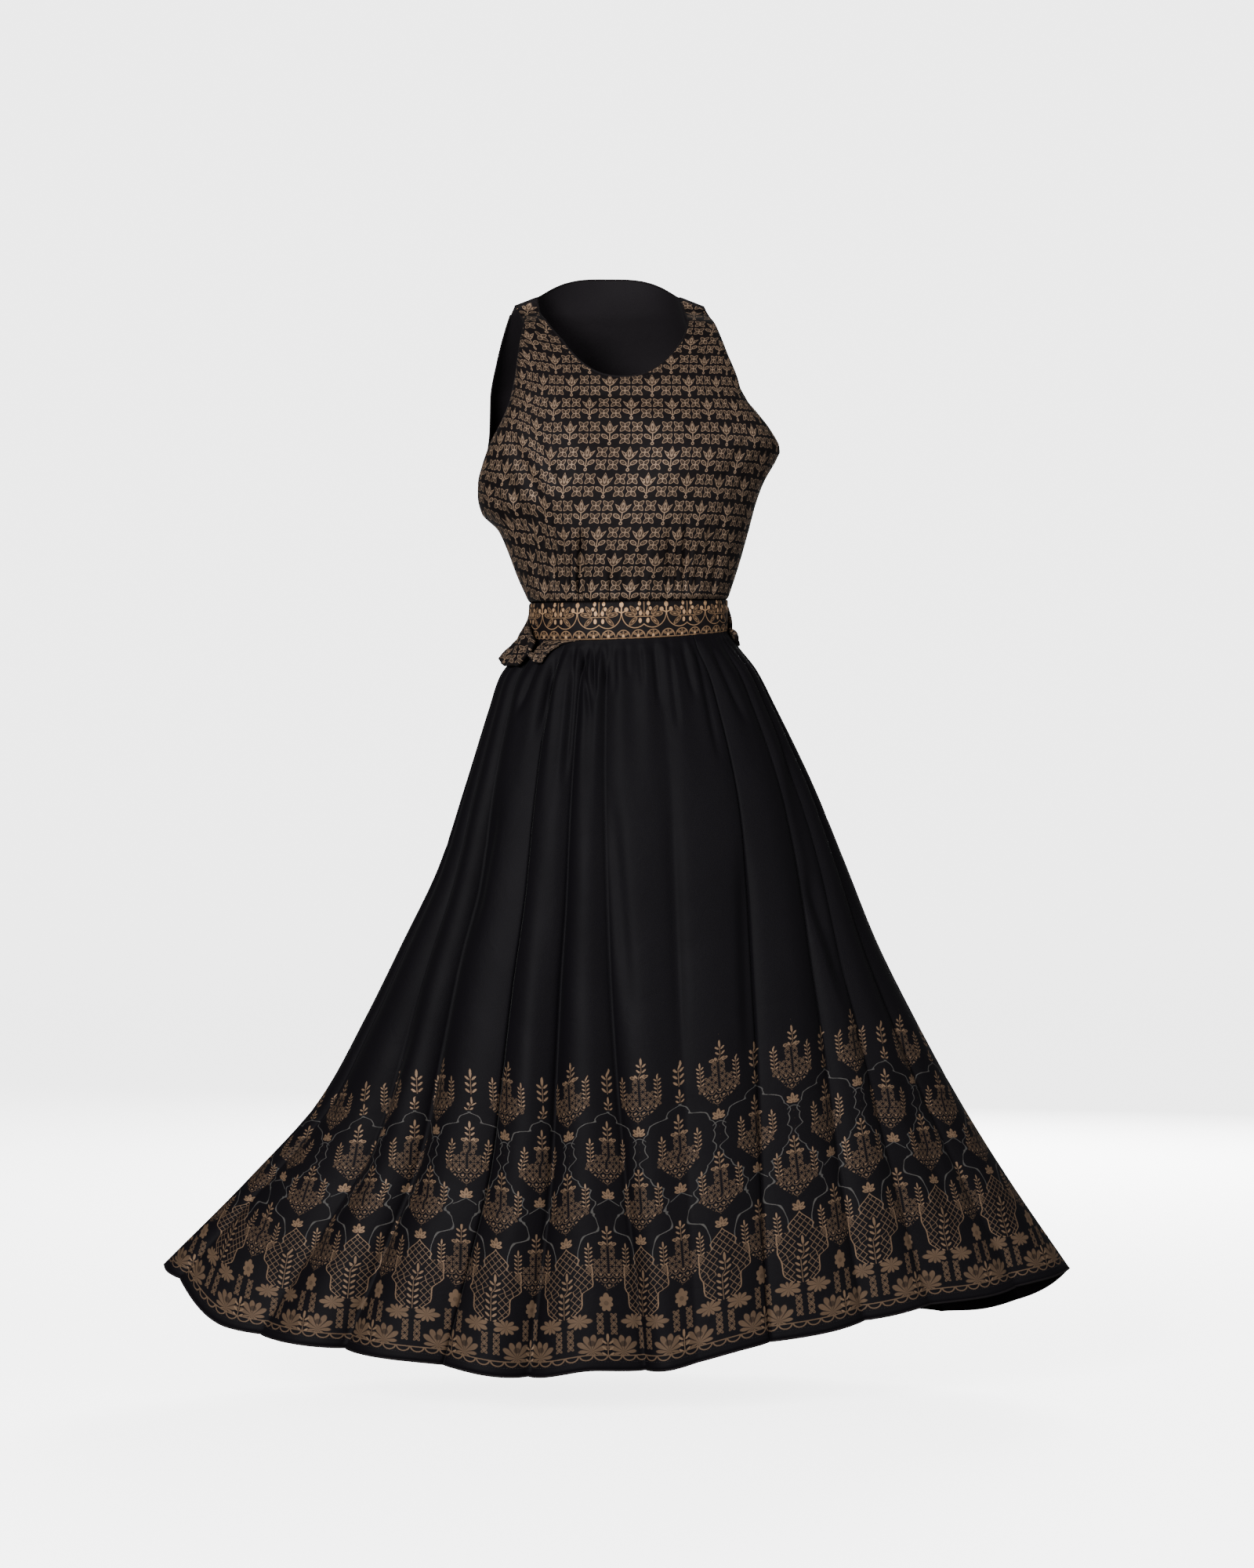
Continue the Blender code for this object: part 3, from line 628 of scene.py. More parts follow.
FRONT_ARMHOLES = table_of(EdgeRow,
    (0, -132, 8, 1, 86, 8, 0, 0), (1, -125, -11, -13, 92, -8, -13, 0), (2, -121, -25, -24, 98, -20, -24, 0),
    (3, -123, -40, -39, 105, -36, -43, 0), (4, -126, -52, -60, 111, -50, -61, 0),
    (5, -129, -60, -86, 121, -57, -86, 0), (6, -134, -64, -112, 128, -60, -109, 0),
    (7, -144, -62, -138, 144, -54, -128, 0), (8, -157, -53, -162, 160, -42, -147, 0),
    (9, -167, -37, -186, 171, -21, -164, 0), (10, -173, -16, -206, 172, -8, -170, 0))
StrapRow = namedtuple("StrapRow", "at left_x left_z right_x right_z")
STRAP_EDGES = table_of(StrapRow,
    (0, -106, 11, 58, 11), (1, -102, -9, 63, -9), (2, -94, -22, 66, -22), (3, -85, -35, 64, -34),
    (4, -77, -45, 60, -45))
FRONT_FOLDS = table_of(Fold,
    (-96, -245, 5, 8), (-55, -262, 7, 7), (-20, -300, 3, 6), (42, -275, 6, 8), (62, -262, 5, 7), (96, -250, 5, 8))

def block_place(across):
    """Turn, side share and swell across the front panel, whose strap columns are closer than its middle ones."""
    edges = np.cumsum((0,) + FRONT_BLOCKS) / sum(FRONT_BLOCKS)
    shares = (-1.0, NECK_SHARE_LEFT, NECK_SHARE_RIGHT, 1.0)
    angles = -np.sign(shares) * np.abs(shares) ** (OVAL / 2)
    turns = np.degrees(np.arccos(angles))
    turn = np.interp(across, edges, turns)
    swell = np.sin(np.radians(turn)).clip(min=0) ** (2 / OVAL)
    return turn, side_share(turn), swell


def bodice_front_points(across, down):
    """Outer face of the front panel, from the shoulder seams to the waistband."""
    row = down * FRONT_LAST
    edges = with_sides(FRONT_ARMHOLES)
    turn, share, swell = block_place(across)
    left, right = panel_edges(edges, row)
    blend = (share + 1) / 2
    x, edge_y, z = (a + (b - a) * blend for a, b in zip(left, right))

    strap = np.clip(row, 0, STRAP_FOOT_AT)
    on_left = (share + 1) / (NECK_SHARE_LEFT + 1)
    on_right = (1 - share) / (1 - NECK_SHARE_RIGHT)
    for inner, outer, way in (("left", left, on_left), ("right", right, on_right)):
        inside = (way <= 1.0001) & (row < STRAP_FOOT_AT + 0.0001)
        x = np.where(inside, outer[0] + (read(STRAP_EDGES, inner + "_x", strap) * MM - outer[0]) * way, x)
        z = np.where(inside, outer[2] + (read(STRAP_EDGES, inner + "_z", strap) * MM - outer[2]) * way, z)

    # Below the straps the rows sag in the middle to follow the scoop, and lie level lower down
    foot = np.full_like(row, STRAP_FOOT_AT)
    left_foot = read(edges, "left_z", foot) * MM
    right_foot = read(edges, "right_z", foot) * MM
    middle = (2 * share - NECK_SHARE_LEFT - NECK_SHARE_RIGHT) / (NECK_SHARE_RIGHT - NECK_SHARE_LEFT)
    inner = STRAP_EDGES[-1].left_z * MM
    along_left = left_foot + (inner - left_foot) * on_left
    along_right = right_foot + (inner - right_foot) * on_right
    along_scoop = inner - NECK_SCOOP * (1 - np.abs(middle).clip(0, 1) ** NECK_ROUNDNESS)
    foot_line = np.where(on_left < 1, along_left, np.where(on_right < 1, along_right, along_scoop))
    sag = foot_line - left_foot - (right_foot - left_foot) * blend
    level = left[2] + (right[2] - left[2]) * blend
    below = row > STRAP_FOOT_AT - 0.0001
    z = np.where(below, level + sag * (1 - ease(STRAP_FOOT_AT, SCOOP_FADES_AT, row)), z)

    # The foot of the panel follows the waistband's drooping top edge
    z = z + ease(FRONT_WAIST_ROW, FRONT_LAST, row) * (band_top(turn) + SEAM_GAP - level_foot(turn))

    depth = read(DEPTHS, "front", z / MM) * MM
    y = edge_y + (depth - edge_y) * swell
    offside = np.abs(x - (left[0] + right[0]) / 2)
    bust = np.exp(-(((offside - BUST_PLACE) / BUST_WIDTH) ** 2) - (((z - BUST_HEIGHT) / BUST_LENGTH) ** 2))
    y = y - BUST_FULLNESS * bust
    inward = folds(x, z, FRONT_FOLDS, BAND_TOP) + gathers(share, z, BAND_TOP, BODICE_GATHERS)
    y = y + inward * swell
    y = y + (SHOULDER_SEAM_Y - SEAM_GAP / 2 - y) * (1 - ease(0.0, FRONT_SHOULDER_ROWS, row))
    return np.column_stack([x, y, z])


def over_neck(across, down):
    """The open scoop between the straps."""
    first, last = np.cumsum(FRONT_BLOCKS)[:2] / sum(FRONT_BLOCKS)
    return down < STRAP_FOOT_AT / FRONT_LAST and first < across < last


FRONT_CREASES = table_of(Crease,
    (-54, -268, -56, -340, 6.8, 2.6), (-47, -300, -49, -340, 2.7, 2.0), (-64, -286, -65, -340, 3.2, 2.4),
    (-76, -262, -74, -340, 4.1, 3.0), (-88, -250, -84, -340, 3.5, 3.0), (-100, -240, -93, -340, 4.1, 3.0),
    (-114, -236, -101, -330, 3.5, 3.2), (-128, -232, -108, -320, 3.0, 3.2), (-20, -312, -21, -341, 2.2, 2.2),
    (-6, -318, -7, -341, 2.0, 2.2), (22, -316, 23, -341, 2.2, 2.4), (44, -262, 43, -340, 5.7, 3.0),
    (54, -276, 53, -340, 3.0, 2.4), (64, -250, 62, -340, 4.9, 3.2), (79, -276, 74, -338, 3.0, 2.6),
    (92, -246, 86, -336, 3.5, 3.0), (106, -226, 96, -330, 2.4, 3.4), (-138, -150, -92, -252, 3.0, 6.0),
    (-122, -128, -76, -226, 2.0, 6.0), (-150, -184, -112, -262, 2.6, 5.0), (-106, -112, -66, -190, 1.4, 7.0),
    (-158, -210, -126, -272, 2.2, 4.0), (140, -150, 100, -222, 2.4, 6.0), (150, -174, 112, -238, 2.0, 5.0),
    (-84, -112, 96, -118, 2.2, 9.0), (-60, -134, 60, -140, -1.2, 9.0), (-96, -30, -112, -96, 1.6, 5.0),
    (76, -34, 96, -98, 1.6, 5.0))


def front_place(across, down):
    """The front panel's outer face with its creases."""
    points = bodice_front_points(across, down)
    push = creases(FRONT_CREASES, points[:, 0], points[:, 2])
    edge = np.minimum(across, 1 - across) * FRONT_ROUND
    under_arm = down * FRONT_LAST > len(FRONT_ARMHOLES) - 1
    push = push * ease(0.0, CREASE_STOPS, edge) + np.where(under_arm, seam_sink(edge), 0.0)
    push = push + waist_tuck(points[:, 2], block_place(across)[0])
    shoulder = ease(0.0, 1.0, down * FRONT_LAST)
    return points - outwards(bodice_front_points, across, down, -1) * (push * shoulder)[:, None]


HIDDEN_CLOTH = [(-55, 11, 5), (-88, 9, 9), (-118, 10, 10), (43, 7, 4), (63, 7, 4), (92, 8, 8), (-20, 2, 3)]
SIDE_CLOTH = 0.055             # more cloth passes where the front turns to the sides
FRONT_PRINT_X = 0.002
LEFT_FROM = 0.075              # the print is drawn askew left of here
LEFT_DRAG = 4.0 * MM


def front_cloth(across, down):
    """Cloth lengths across and down the front: more cloth passes where folds swallow it, lower down."""
    points = bodice_front_points(across, down)
    x, z = points[:, 0], points[:, 2]
    share = block_place(across)[1]
    round_over = np.abs(share) ** 3.2 * SIDE_CLOTH
    u = x - FRONT_PRINT_X + np.sign(share) * round_over * ease(-0.02, -0.10, z)
    lower = ease(-0.235, -0.335, z)
    for place_x, hidden, width in HIDDEN_CLOTH:
        u = u + hidden * MM * lower * 0.5 * np.tanh((x - place_x * MM) / (width * MM))
    u = u + 0.12 * (-0.165 - z).clip(min=0)
    left = ease(-LEFT_FROM, -0.115, x)
    u = u + left * LEFT_DRAG * np.sin(z * 62 + x * 21)
    v = cloth_down(z, "front") + left * LEFT_DRAG * np.sin(x * 74 + z * 30) + left * 0.30 * (x + LEFT_FROM)
    return np.column_stack([u, v])


bodice_front = cloth("bodice_front_cloth", 5 * sum(FRONT_BLOCKS), 9 * FRONT_LAST, front_place, THIN_CLOTH,
                     front_cloth, [printed_cloth, reverse_cloth], keep=kept_from_seams(-1), without=over_neck)
runs = open_edges(bodice_front, is_open)
seams = open_edges(bodice_front, lambda vert: vert.co.z > SHOULDER_FROM
                   and abs(vert.co.y - SHOULDER_SEAM_Y) < SEAM_REACH)
stands_for(bodice_front, "bodice_front",
           sewn_on=[turned_edge("bodice_front_turned_edges", runs, edge_cloth),
                    turned_edge("shoulder_seams", seams, edge_cloth, radius=1.1 * MM),
                    stitches("bodice_front_edge_stitches", bodice_front, runs, EDGE_STITCHES, thread)])

# Waistband
# Two strips of the printed border, front and back, joined at the sides. They are stitched flat over the
# gathered bodice above and the gathered skirt below, so they bulge a little between their edges.
WAIST_LEFT = 0.115
WAIST_RIGHT = 0.113
WAIST_FRONT = 0.100
WAIST_BACK = 0.088
BAND_BOTTOM = -0.378
BAND_BOTTOM_TILT = 0.0045
BAND_BOTTOM_DROOP = 0.009
BAND_CLOTH = 1.4 * MM
BAND_BULGE = 0.5 * MM
BAND_PUCKER = 0.35 * MM
BAND_EDGE_TURN = 0.8 * MM
BAND_SAG = 0.7 * MM
BAND_WIDTH = 0.042
BAND_STITCHES = 2.2 * MM
FESTOON = 57.6                 # width of a festoon, in the print's own units
ARCH = FESTOON / 3
BAND_PRINT_WIDE = 1139.6       # those units a metre, round the band and down it
BAND_PRINT_HIGH = 1060.0

def oval(turn, left, right, front, back, fullness):
    """A point round a plan section: fullness 0.5 is an ellipse, and 1 a lens with pointed sides."""
    angle = np.radians(turn)
    x = -np.cos(angle) * np.where(np.cos(angle) > 0, left, right)
    depth = np.abs(np.sin(angle)) ** (2 * fullness)
    y = np.where(np.sin(angle) > 0, -depth * front, depth * back)
    return x, y


def band_bottom(turn):
    """Height of the seam between waistband and skirt."""
    angle = np.radians(turn)
    return BAND_BOTTOM - BAND_BOTTOM_TILT * np.cos(angle) - BAND_BOTTOM_DROOP * np.sin(angle).clip(min=0)


def band_place(first):
    """The waistband's outer face from one side seam to the other."""
    def place(across, down):
        turn = first + 180.0 * across
        x, y = oval(turn, WAIST_LEFT, WAIST_RIGHT, WAIST_FRONT, WAIST_BACK, 1 / OVAL)
        z = band_top(turn) + (band_bottom(turn) - band_top(turn)) * down
        edge = np.minimum(down, 1 - down)
        pucker = BAND_PUCKER * np.sin(across * 190 + 2.1 * np.sin(across * 37)) * (1 - ease(0.0, 0.3, edge))
        out = BAND_BULGE * ease(0.0, 0.35, edge) + pucker - BAND_EDGE_TURN * (1 - ease(0.0, 0.06, edge))
        out = out + BAND_SAG * np.sin(across * 23 + first) * np.sin(down * 2.6)
        radius = np.hypot(x, y)
        return np.column_stack([x * (1 + out / radius), y * (1 + out / radius), z])
    return place


def band_cloth(first):
    """Cloth lengths round the band and down from its top."""
    def lengths(across, down):
        turn = np.linspace(first, first + 180.0, 721)
        x, y = oval(turn, WAIST_LEFT, WAIST_RIGHT, WAIST_FRONT, WAIST_BACK, 1 / OVAL)
        round_it = np.concatenate([[0.0], np.cumsum(np.hypot(np.diff(x), np.diff(y)))])
        middle = round_it[np.abs(x).argmin()]
        return np.column_stack([np.interp(across, np.linspace(0, 1, 721), round_it) - middle, down * BAND_WIDTH])
    return lengths


def band_print(x, y):
    """The waistband's border: festoons with palmettes, buds where they meet, and a row of small arches below."""
    a = absol(centred(x / FESTOON)) * FESTOON
    b = FESTOON / 2 - a
    festoon = ring(reach(a - 11.2, y - 28.4), 16.7, 17.7, 0.4) * step_in(y, 28.6, 0.4)
    bud = high(step_in(reach(b, (y - 38.3) * 0.85), 2.7, 0.4), step_in(reach(b - 6.2, y - 32.4), 2.6, 0.4))
    bud = high(bud, step_in(b, 0.8, 0.4) * step_in(absol(y - 31.0), 5.5, 0.4))
    bud = high(bud, step_in(absol(y - 28.6 - 0.45 * b), 0.7, 0.4) * step_in(b, 5.5, 0.4))
    petals = high(leaf(a, y, 17.6, 26.6, (0.98, 0.17), 6.9, 2.7), leaf(a, y, 13.6, 31.6, (0.66, 0.75), 6.6, 2.6))
    petals = high(petals, leaf(a, y, 13.8, 18.8, (0.74, -0.67), 6.9, 2.6))
    hearts = 0.45 * step_out(petals, 0.72, 0.12)
    petals = step_out(petals, 0.0, 0.12) * (0.42 - 0.30 * step_out(petals, 0.24, 0.12)) + hearts
    beads = low(low(reach(a - 5.8, (y - 39.4) * 0.8), reach(a - 8.0, (y - 33.4) * 0.9)),
                low(reach(a - 4.5, (y - 28.3) * 0.7), reach(a - 4.9, (y - 19.4) * 0.7)))
    beads = step_in(beads, 2.0, 0.4)
    stalk = high(step_in(absol(y - 24.2), 0.5, 0.4) * step_in(a, 12.0, 0.5),
                 step_in(a, 0.6, 0.4) * step_in(absol(y - 33.0), 8.5, 0.4))
    lean = step_in(absol(y - 26.0 - 1.9 * (a - 0.8)), 0.8, 0.6)
    stalk = high(stalk, lean * step_in(a, 6.0, 0.5) * step_out(a, 0.5, 0.4))
    upper = high(high(festoon * 0.65, bud * 0.9), high(high(petals, beads), stalk * 0.45))
    arch_x = centred(x / ARCH + 0.37) * ARCH
    c = absol(arch_x)
    arch = ring(reach(arch_x, (y - 0.6) * 1.05), 8.0, 9.1, 0.4) * step_out(y, 0.5, 0.4)
    fan = high(step_out(leaf(c, y, 4.3, 4.5, (0.90, 0.44), 3.6, 1.7), 0.0, 0.2),
               step_out(leaf(arch_x, y, 0.0, 6.0, (0.0, 1.0), 2.2, 1.1), 0.0, 0.2))
    fan = high(fan * 0.32, step_in(reach(arch_x, (y - 1.6) * 0.7), 1.7, 0.4))
    foot = step_in(absol(y + 0.4), 0.7, 0.4)
    lower = high(high(arch * 0.55, fan), foot * 0.6)
    return high(upper * step_out(y, 10.3, 0.2), lower * step_in(y, 10.3, 0.2))


def festoons(across, down):
    """The band's border over cloth lengths in metres, its foot line at the band's lower seam."""
    return [(band_print(across * BAND_PRINT_WIDE + 10.2, 42.6 - down * BAND_PRINT_HIGH), BRIGHT_BRONZE)]


BRIGHT_BRONZE = (0.250, 0.150, 0.082)
band_weave = woven("printed_band_weave", INK, 0.70, draw=festoons)

BAND_COLUMNS = 208
BAND_ROWS = 16


def on_band_edge(vert):
    """True along the top and the foot of a band strip."""
    return not BAND_COLUMNS < vert.index < (BAND_COLUMNS + 1) * BAND_ROWS


for node, first, long in [("waistband_front", 0.0, 0.360), ("waistband_back", 180.0, 0.350)]:
    band = cloth(node + "_cloth", BAND_COLUMNS, BAND_ROWS, band_place(first), BAND_CLOTH, band_cloth(first),
                 [band_weave, reverse_cloth])
    runs = open_edges(band, on_band_edge)
    stands_for(band, node,
               sewn_on=[stitches(node + "_edge_stitches", band, runs, BAND_STITCHES, thread)])

# Skirt
# Six flared gores of soft black cloth, gathered hard into the waistband. They fall in broad flutes that
# open towards the hem, where the gold border is printed above a plain hem turned up and sewn.
SKIRT_ROW_SPREAD = 1.35
FLUTE_ROUNDNESS = 0.75
SKIRT_GATHER_DEPTH = 0.003
FINE_GATHER = 1.5 * MM
SKIRT_GATHER_FROM = 0.05
SKIRT_GATHER_TO = 0.28
FLUTE_START = 0.30
FLUTE_START_AT = 0.06
FLUTE_FULL_AT = 0.75
HEM_FULLNESS = 0.72
SIDE_VALLEY = 12
SkirtRow = namedtuple("SkirtRow", "at left right front back")
SKIRT_SECTIONS = table_of(SkirtRow,
    (0.000, 115, 113, 100, 88), (0.025, 130, 126, 108, 97), (0.060, 149, 146, 114, 105),
    (0.110, 161, 165, 121, 114), (0.240, 190, 211, 139, 132), (0.360, 218, 247, 153, 147),
    (0.486, 261, 284, 167, 162), (0.610, 305, 329, 180, 176), (0.735, 355, 379, 192, 188),
    (0.860, 435, 436, 203, 200), (1.000, 535, 506, 214, 210))
HemRow = namedtuple("HemRow", "at height")
HEM = table_of(HemRow,
    (0, -1100), (14, -1113), (32, -1160), (48, -1172), (65, -1184), (78, -1198), (86, -1187), (92, -1189),
    (105, -1164), (116, -1149), (132, -1127), (143, -1122), (157, -1112), (180, -1105), (205, -1148), (218, -1168),
    (235, -1172), (270, -1178), (315, -1150), (360, -1100))
Valley = namedtuple("Valley", "waist hem depth")
VALLEYS = table_of(Valley,
    (0, 0, 0), (4, 14, 7), (13, 38, 15), (26, 52.6, 24), (52, 67.1, 14), (67, 77.7, 24), (79, 92, 20),
    (104, 98.5, 6), (130, 108, 13), (152, 121.6, 15), (163, 132, 10), (172, 151, 9), (180, 180, 0), (192, 205, 12),
    (210, 222, 18), (228, 239, 14), (246, 255, 20), (264, 270, 14), (283, 286, 20), (303, 303, 15), (324, 322, 20),
    (344, 340, 12), (360, 360, 0))
Gore = namedtuple("Gore", "name first last width area")
GORES = table_of(Gore,
    ("skirt_front_left", 0, 4, 0.48, 0.215), ("skirt_front_centre", 4, 8, 0.56, 0.255),
    ("skirt_front_right", 8, 12, 0.46, 0.205), ("skirt_back_right", 12, 16, 0.55, 0.250),
    ("skirt_back_centre", 16, 19, 0.51, 0.228), ("skirt_back_left", 19, 22, 0.41, 0.182))
SKIRT_CLOTH = 0.8 * MM
HEM_STITCHES = 10 * MM

def skirt_base(turn, at):
    """The skirt's outer envelope, without flutes."""
    sides = [read(SKIRT_SECTIONS, name, at) * MM for name in ("left", "right", "front", "back")]
    fullness = 1 / OVAL + (HEM_FULLNESS - 1 / OVAL) * ease(0.0, 1.0, at)
    x, y = oval(turn, *sides, fullness)
    top = band_bottom(turn) - SEAM_GAP
    z = top + (read(HEM, "height", turn % 360.0) * MM - top) * at
    return np.column_stack([x, y, z])

SKIRT_CREASES = table_of(Crease,
    (-86, -405, -104, -496, 5.4, 4.0), (-63, -400, -74, -545, 5.8, 3.6), (-55, -392, -45, -470, 3.8, 3.0),
    (-42, -392, -38, -452, 3.2, 2.6), (-30, -392, -27, -440, 2.6, 2.4), (-100, -400, -128, -470, 4.2, 4.0),
    (-18, -392, -16, -448, 2.2, 2.6), (-4, -392, -2, -430, 1.9, 2.4), (12, -392, 15, -440, 2.2, 2.6),
    (28, -392, 34, -462, 2.9, 3.0), (44, -390, 55, -486, 3.5, 3.4), (60, -390, 74, -452, 3.5, 3.2),
    (76, -390, 101, -520, 4.5, 4.0), (92, -390, 132, -480, 3.8, 3.6), (-20, -560, 0, -800, 3.5, 8.0),
    (46, -540, 58, -860, 4.2, 8.0), (-150, -560, -182, -720, 6.4, 9.0), (128, -620, 134, -860, 4.8, 9.0),
    (176, -500, 224, -720, 5.8, 9.0), (204, -650, 244, -790, 6.7, 8.0), (-240, -800, -330, -1030, 4.8, 11.0),
    (-90, -620, -100, -900, 2.6, 12.0), (300, -860, 372, -1050, 4.2, 11.0))
BACK_SKIRT_CREASES = table_of(Crease,
    (-80, -395, -96, -520, 4.8, 4.0), (-56, -392, -64, -470, 3.8, 3.4), (-30, -392, -34, -560, 4.8, 4.4),
    (-8, -392, -6, -450, 3.2, 3.0), (18, -392, 22, -520, 4.2, 4.0), (44, -392, 54, -470, 3.5, 3.2),
    (70, -392, 92, -540, 4.8, 4.4), (-130, -560, -170, -800, 5.8, 10.0), (40, -600, 56, -900, 4.8, 10.0),
    (160, -540, 214, -760, 5.8, 10.0))
PACK_CREASES = [(-0.603, 0.9, 0.004), (-0.905, 0.8, 0.004)]


def skirt_place(flute, at):
    """Outer face of the skirt with its gathers: flute counts the valleys passed, at runs from waist to hem."""
    number = np.clip(np.floor(flute).astype(int), 0, len(VALLEYS) - 2)
    s = flute - number
    waist, hem, depth = np.array(VALLEYS, float).T
    spread = ease(0.0, 1.0, at) * 0.5 + at * 0.5
    start = waist[number] + (hem[number] - waist[number]) * spread
    end = waist[number + 1] + (hem[number + 1] - waist[number + 1]) * spread
    turn = start + (end - start) * s
    valley = (depth[number] + (depth[number + 1] - depth[number]) * s) * MM
    open_up = FLUTE_START * ease(0.0, FLUTE_START_AT, at) + (1 - FLUTE_START) * ease(0.05, FLUTE_FULL_AT, at)
    hollow = valley * open_up * (1 - np.sin(np.pi * s).clip(min=0) ** FLUTE_ROUNDNESS)
    gather = SKIRT_GATHER_DEPTH * ease(0.0, 0.02, at) * (1 - ease(SKIRT_GATHER_FROM, SKIRT_GATHER_TO, at))
    angle = np.radians(turn)
    hollow = hollow + gather * (0.5 - 0.5 * np.cos(4 * np.pi * s + np.pi)) * np.sin(angle) ** 2
    points = skirt_base(turn, at)

    # Small uneven gathers just under the band, longer creases below them, and creases from being packed
    beat = angle * 33 + 2.4 * np.sin(angle * 9.0) + 1.3 * np.sin(angle * 23.0)
    fall = 0.045 + 0.030 * np.sin(angle * 12.0 + 1.0)
    fine = ease(0.0, 0.012, at) * (1 - ease(0.2, 1.0, at / fall))
    hollow = hollow + FINE_GATHER * (0.5 + 0.5 * np.cos(beat)) * fine
    x, z = points[:, 0], points[:, 2]
    marks = np.where(np.sin(angle) > 0, creases(SKIRT_CREASES, x, z), creases(BACK_SKIRT_CREASES, x, z))
    hollow = hollow + marks * ease(0.0, 0.25, np.abs(np.sin(angle)))
    for height, depth_mm, width in PACK_CREASES:
        hollow = hollow + depth_mm * MM * np.exp(-(((z - height - 0.02 * np.sin(x * 4)) / width) ** 2)) * 0.5
    hollow = hollow + 1.3 * WAIST_TUCK * (1 - ease(0.0, 0.008, at))
    points[:, 2] = points[:, 2] + SEAM_ALLOWANCE * (1 - ease(0.0, 0.006, at))

    step = 0.5
    along = skirt_base(turn + step, at) - skirt_base(turn - step, at)
    length = np.hypot(along[:, 0], along[:, 1]).clip(min=1e-9)
    points[:, 0] -= along[:, 1] / length * hollow
    points[:, 1] += along[:, 0] / length * hollow
    return points


BORDER_REPEAT = 0.0967         # width of a repeat at the hem
BORDER_FANS = 0.11             # how much the repeats narrow upwards
BORDER_TREE_X = 0.0252         # how far left of the middle front a repeat stands
BORDER_SCALE = 1149.0          # the border print's own units a metre
BORDER_PULL = 0.2              # how much lower the border stands at the far left
FLUTE_COLUMNS = 26
SKIRT_ROWS = 176


def cloth_lengths():
    """Over the grid of the skirt's points: repeats from the middle front and back, and lengths above the hem.

    The gores at the far left are cut slanting, so the border stands lower there.
    """
    flutes = np.linspace(0, len(VALLEYS) - 1, FLUTE_COLUMNS * (len(VALLEYS) - 1) + 1)
    levels = np.linspace(0, 1, SKIRT_ROWS + 1) ** SKIRT_ROW_SPREAD
    flute, level = np.meshgrid(flutes, levels)
    points = skirt_place(flute.ravel(), level.ravel()).reshape(len(levels), len(flutes), 3)
    along = np.linalg.norm(np.diff(points, axis=1), axis=2).cumsum(axis=1)
    along = np.hstack([np.zeros((len(levels), 1)), along])
    seen = points[:, :, 0] * 4 / (4 + points[:, :, 1]) + BORDER_TREE_X
    narrow = read(SKIRT_SECTIONS, "left", levels) / SKIRT_SECTIONS[-1].left
    repeat = (BORDER_REPEAT * narrow ** BORDER_FANS)[:, None]
    from_middle = []
    for side in (flute < SIDE_VALLEY, flute > SIDE_VALLEY):
        middle = np.where(side, np.abs(seen), 9.0).argmin(axis=1)
        from_middle.append((along - along[np.arange(len(levels)), middle][:, None]) / repeat + 10.5)
    slant = 1 + BORDER_PULL * ease(-0.44, -0.55, points[-1, :, 0])
    steps = np.linalg.norm(np.diff(points, axis=0), axis=2) * slant
    above = np.vstack([steps[::-1].cumsum(axis=0)[::-1], np.zeros((1, len(flutes)))])
    return *from_middle, above


FRONT_REPEATS, BACK_REPEATS, ABOVE_HEM = cloth_lengths()


def skirt_cloth_place(repeats, flute, at):
    """Border repeats across, and cloth length above the hem, at points of the skirt's grid."""
    column = np.rint(flute * FLUTE_COLUMNS).astype(int)
    row = np.rint(at ** (1 / SKIRT_ROW_SPREAD) * SKIRT_ROWS).astype(int)
    return np.column_stack([repeats[row, column], ABOVE_HEM[row, column]])


def spire(x, y, half, height):
    """A sprig of paired leaves with one on top, height above its foot."""
    pitch = half * 0.95
    y = y - height
    local = centred(y / pitch) * pitch
    a = absol(x)
    pairs = leaf(a, local, half * 0.56, half * 0.08, (0.80, 0.60), half * 0.46, half * 0.17)
    tip = leaf(x, y, 0.0, pitch * 0.35, (0.0, 1.0), half * 0.66, half * 0.22)
    stem = step_in(a, half * 0.07, 0.3) * 0.7
    top = high(step_out(tip, 0.0, 0.2), stem * step_in(y, 0.0, 0.3))
    return high(step_out(pairs, 0.0, 0.25) * step_in(y, -pitch * 0.1, 0.3), top)


def floret_petal(fx, fy, out, wide, strength, hollow, heart):
    """One of the outlined petals that stand slantwise round a floret's middle, by distances from that middle."""
    r = reach(((fx + fy) * 0.7071 - out) / 2.7, (fx - fy) * 0.7071 / wide)
    return strength * step_in(r, 1.0, 0.2) * (1 - hollow * step_in(r, heart, 0.2))


FLORET = 9.6


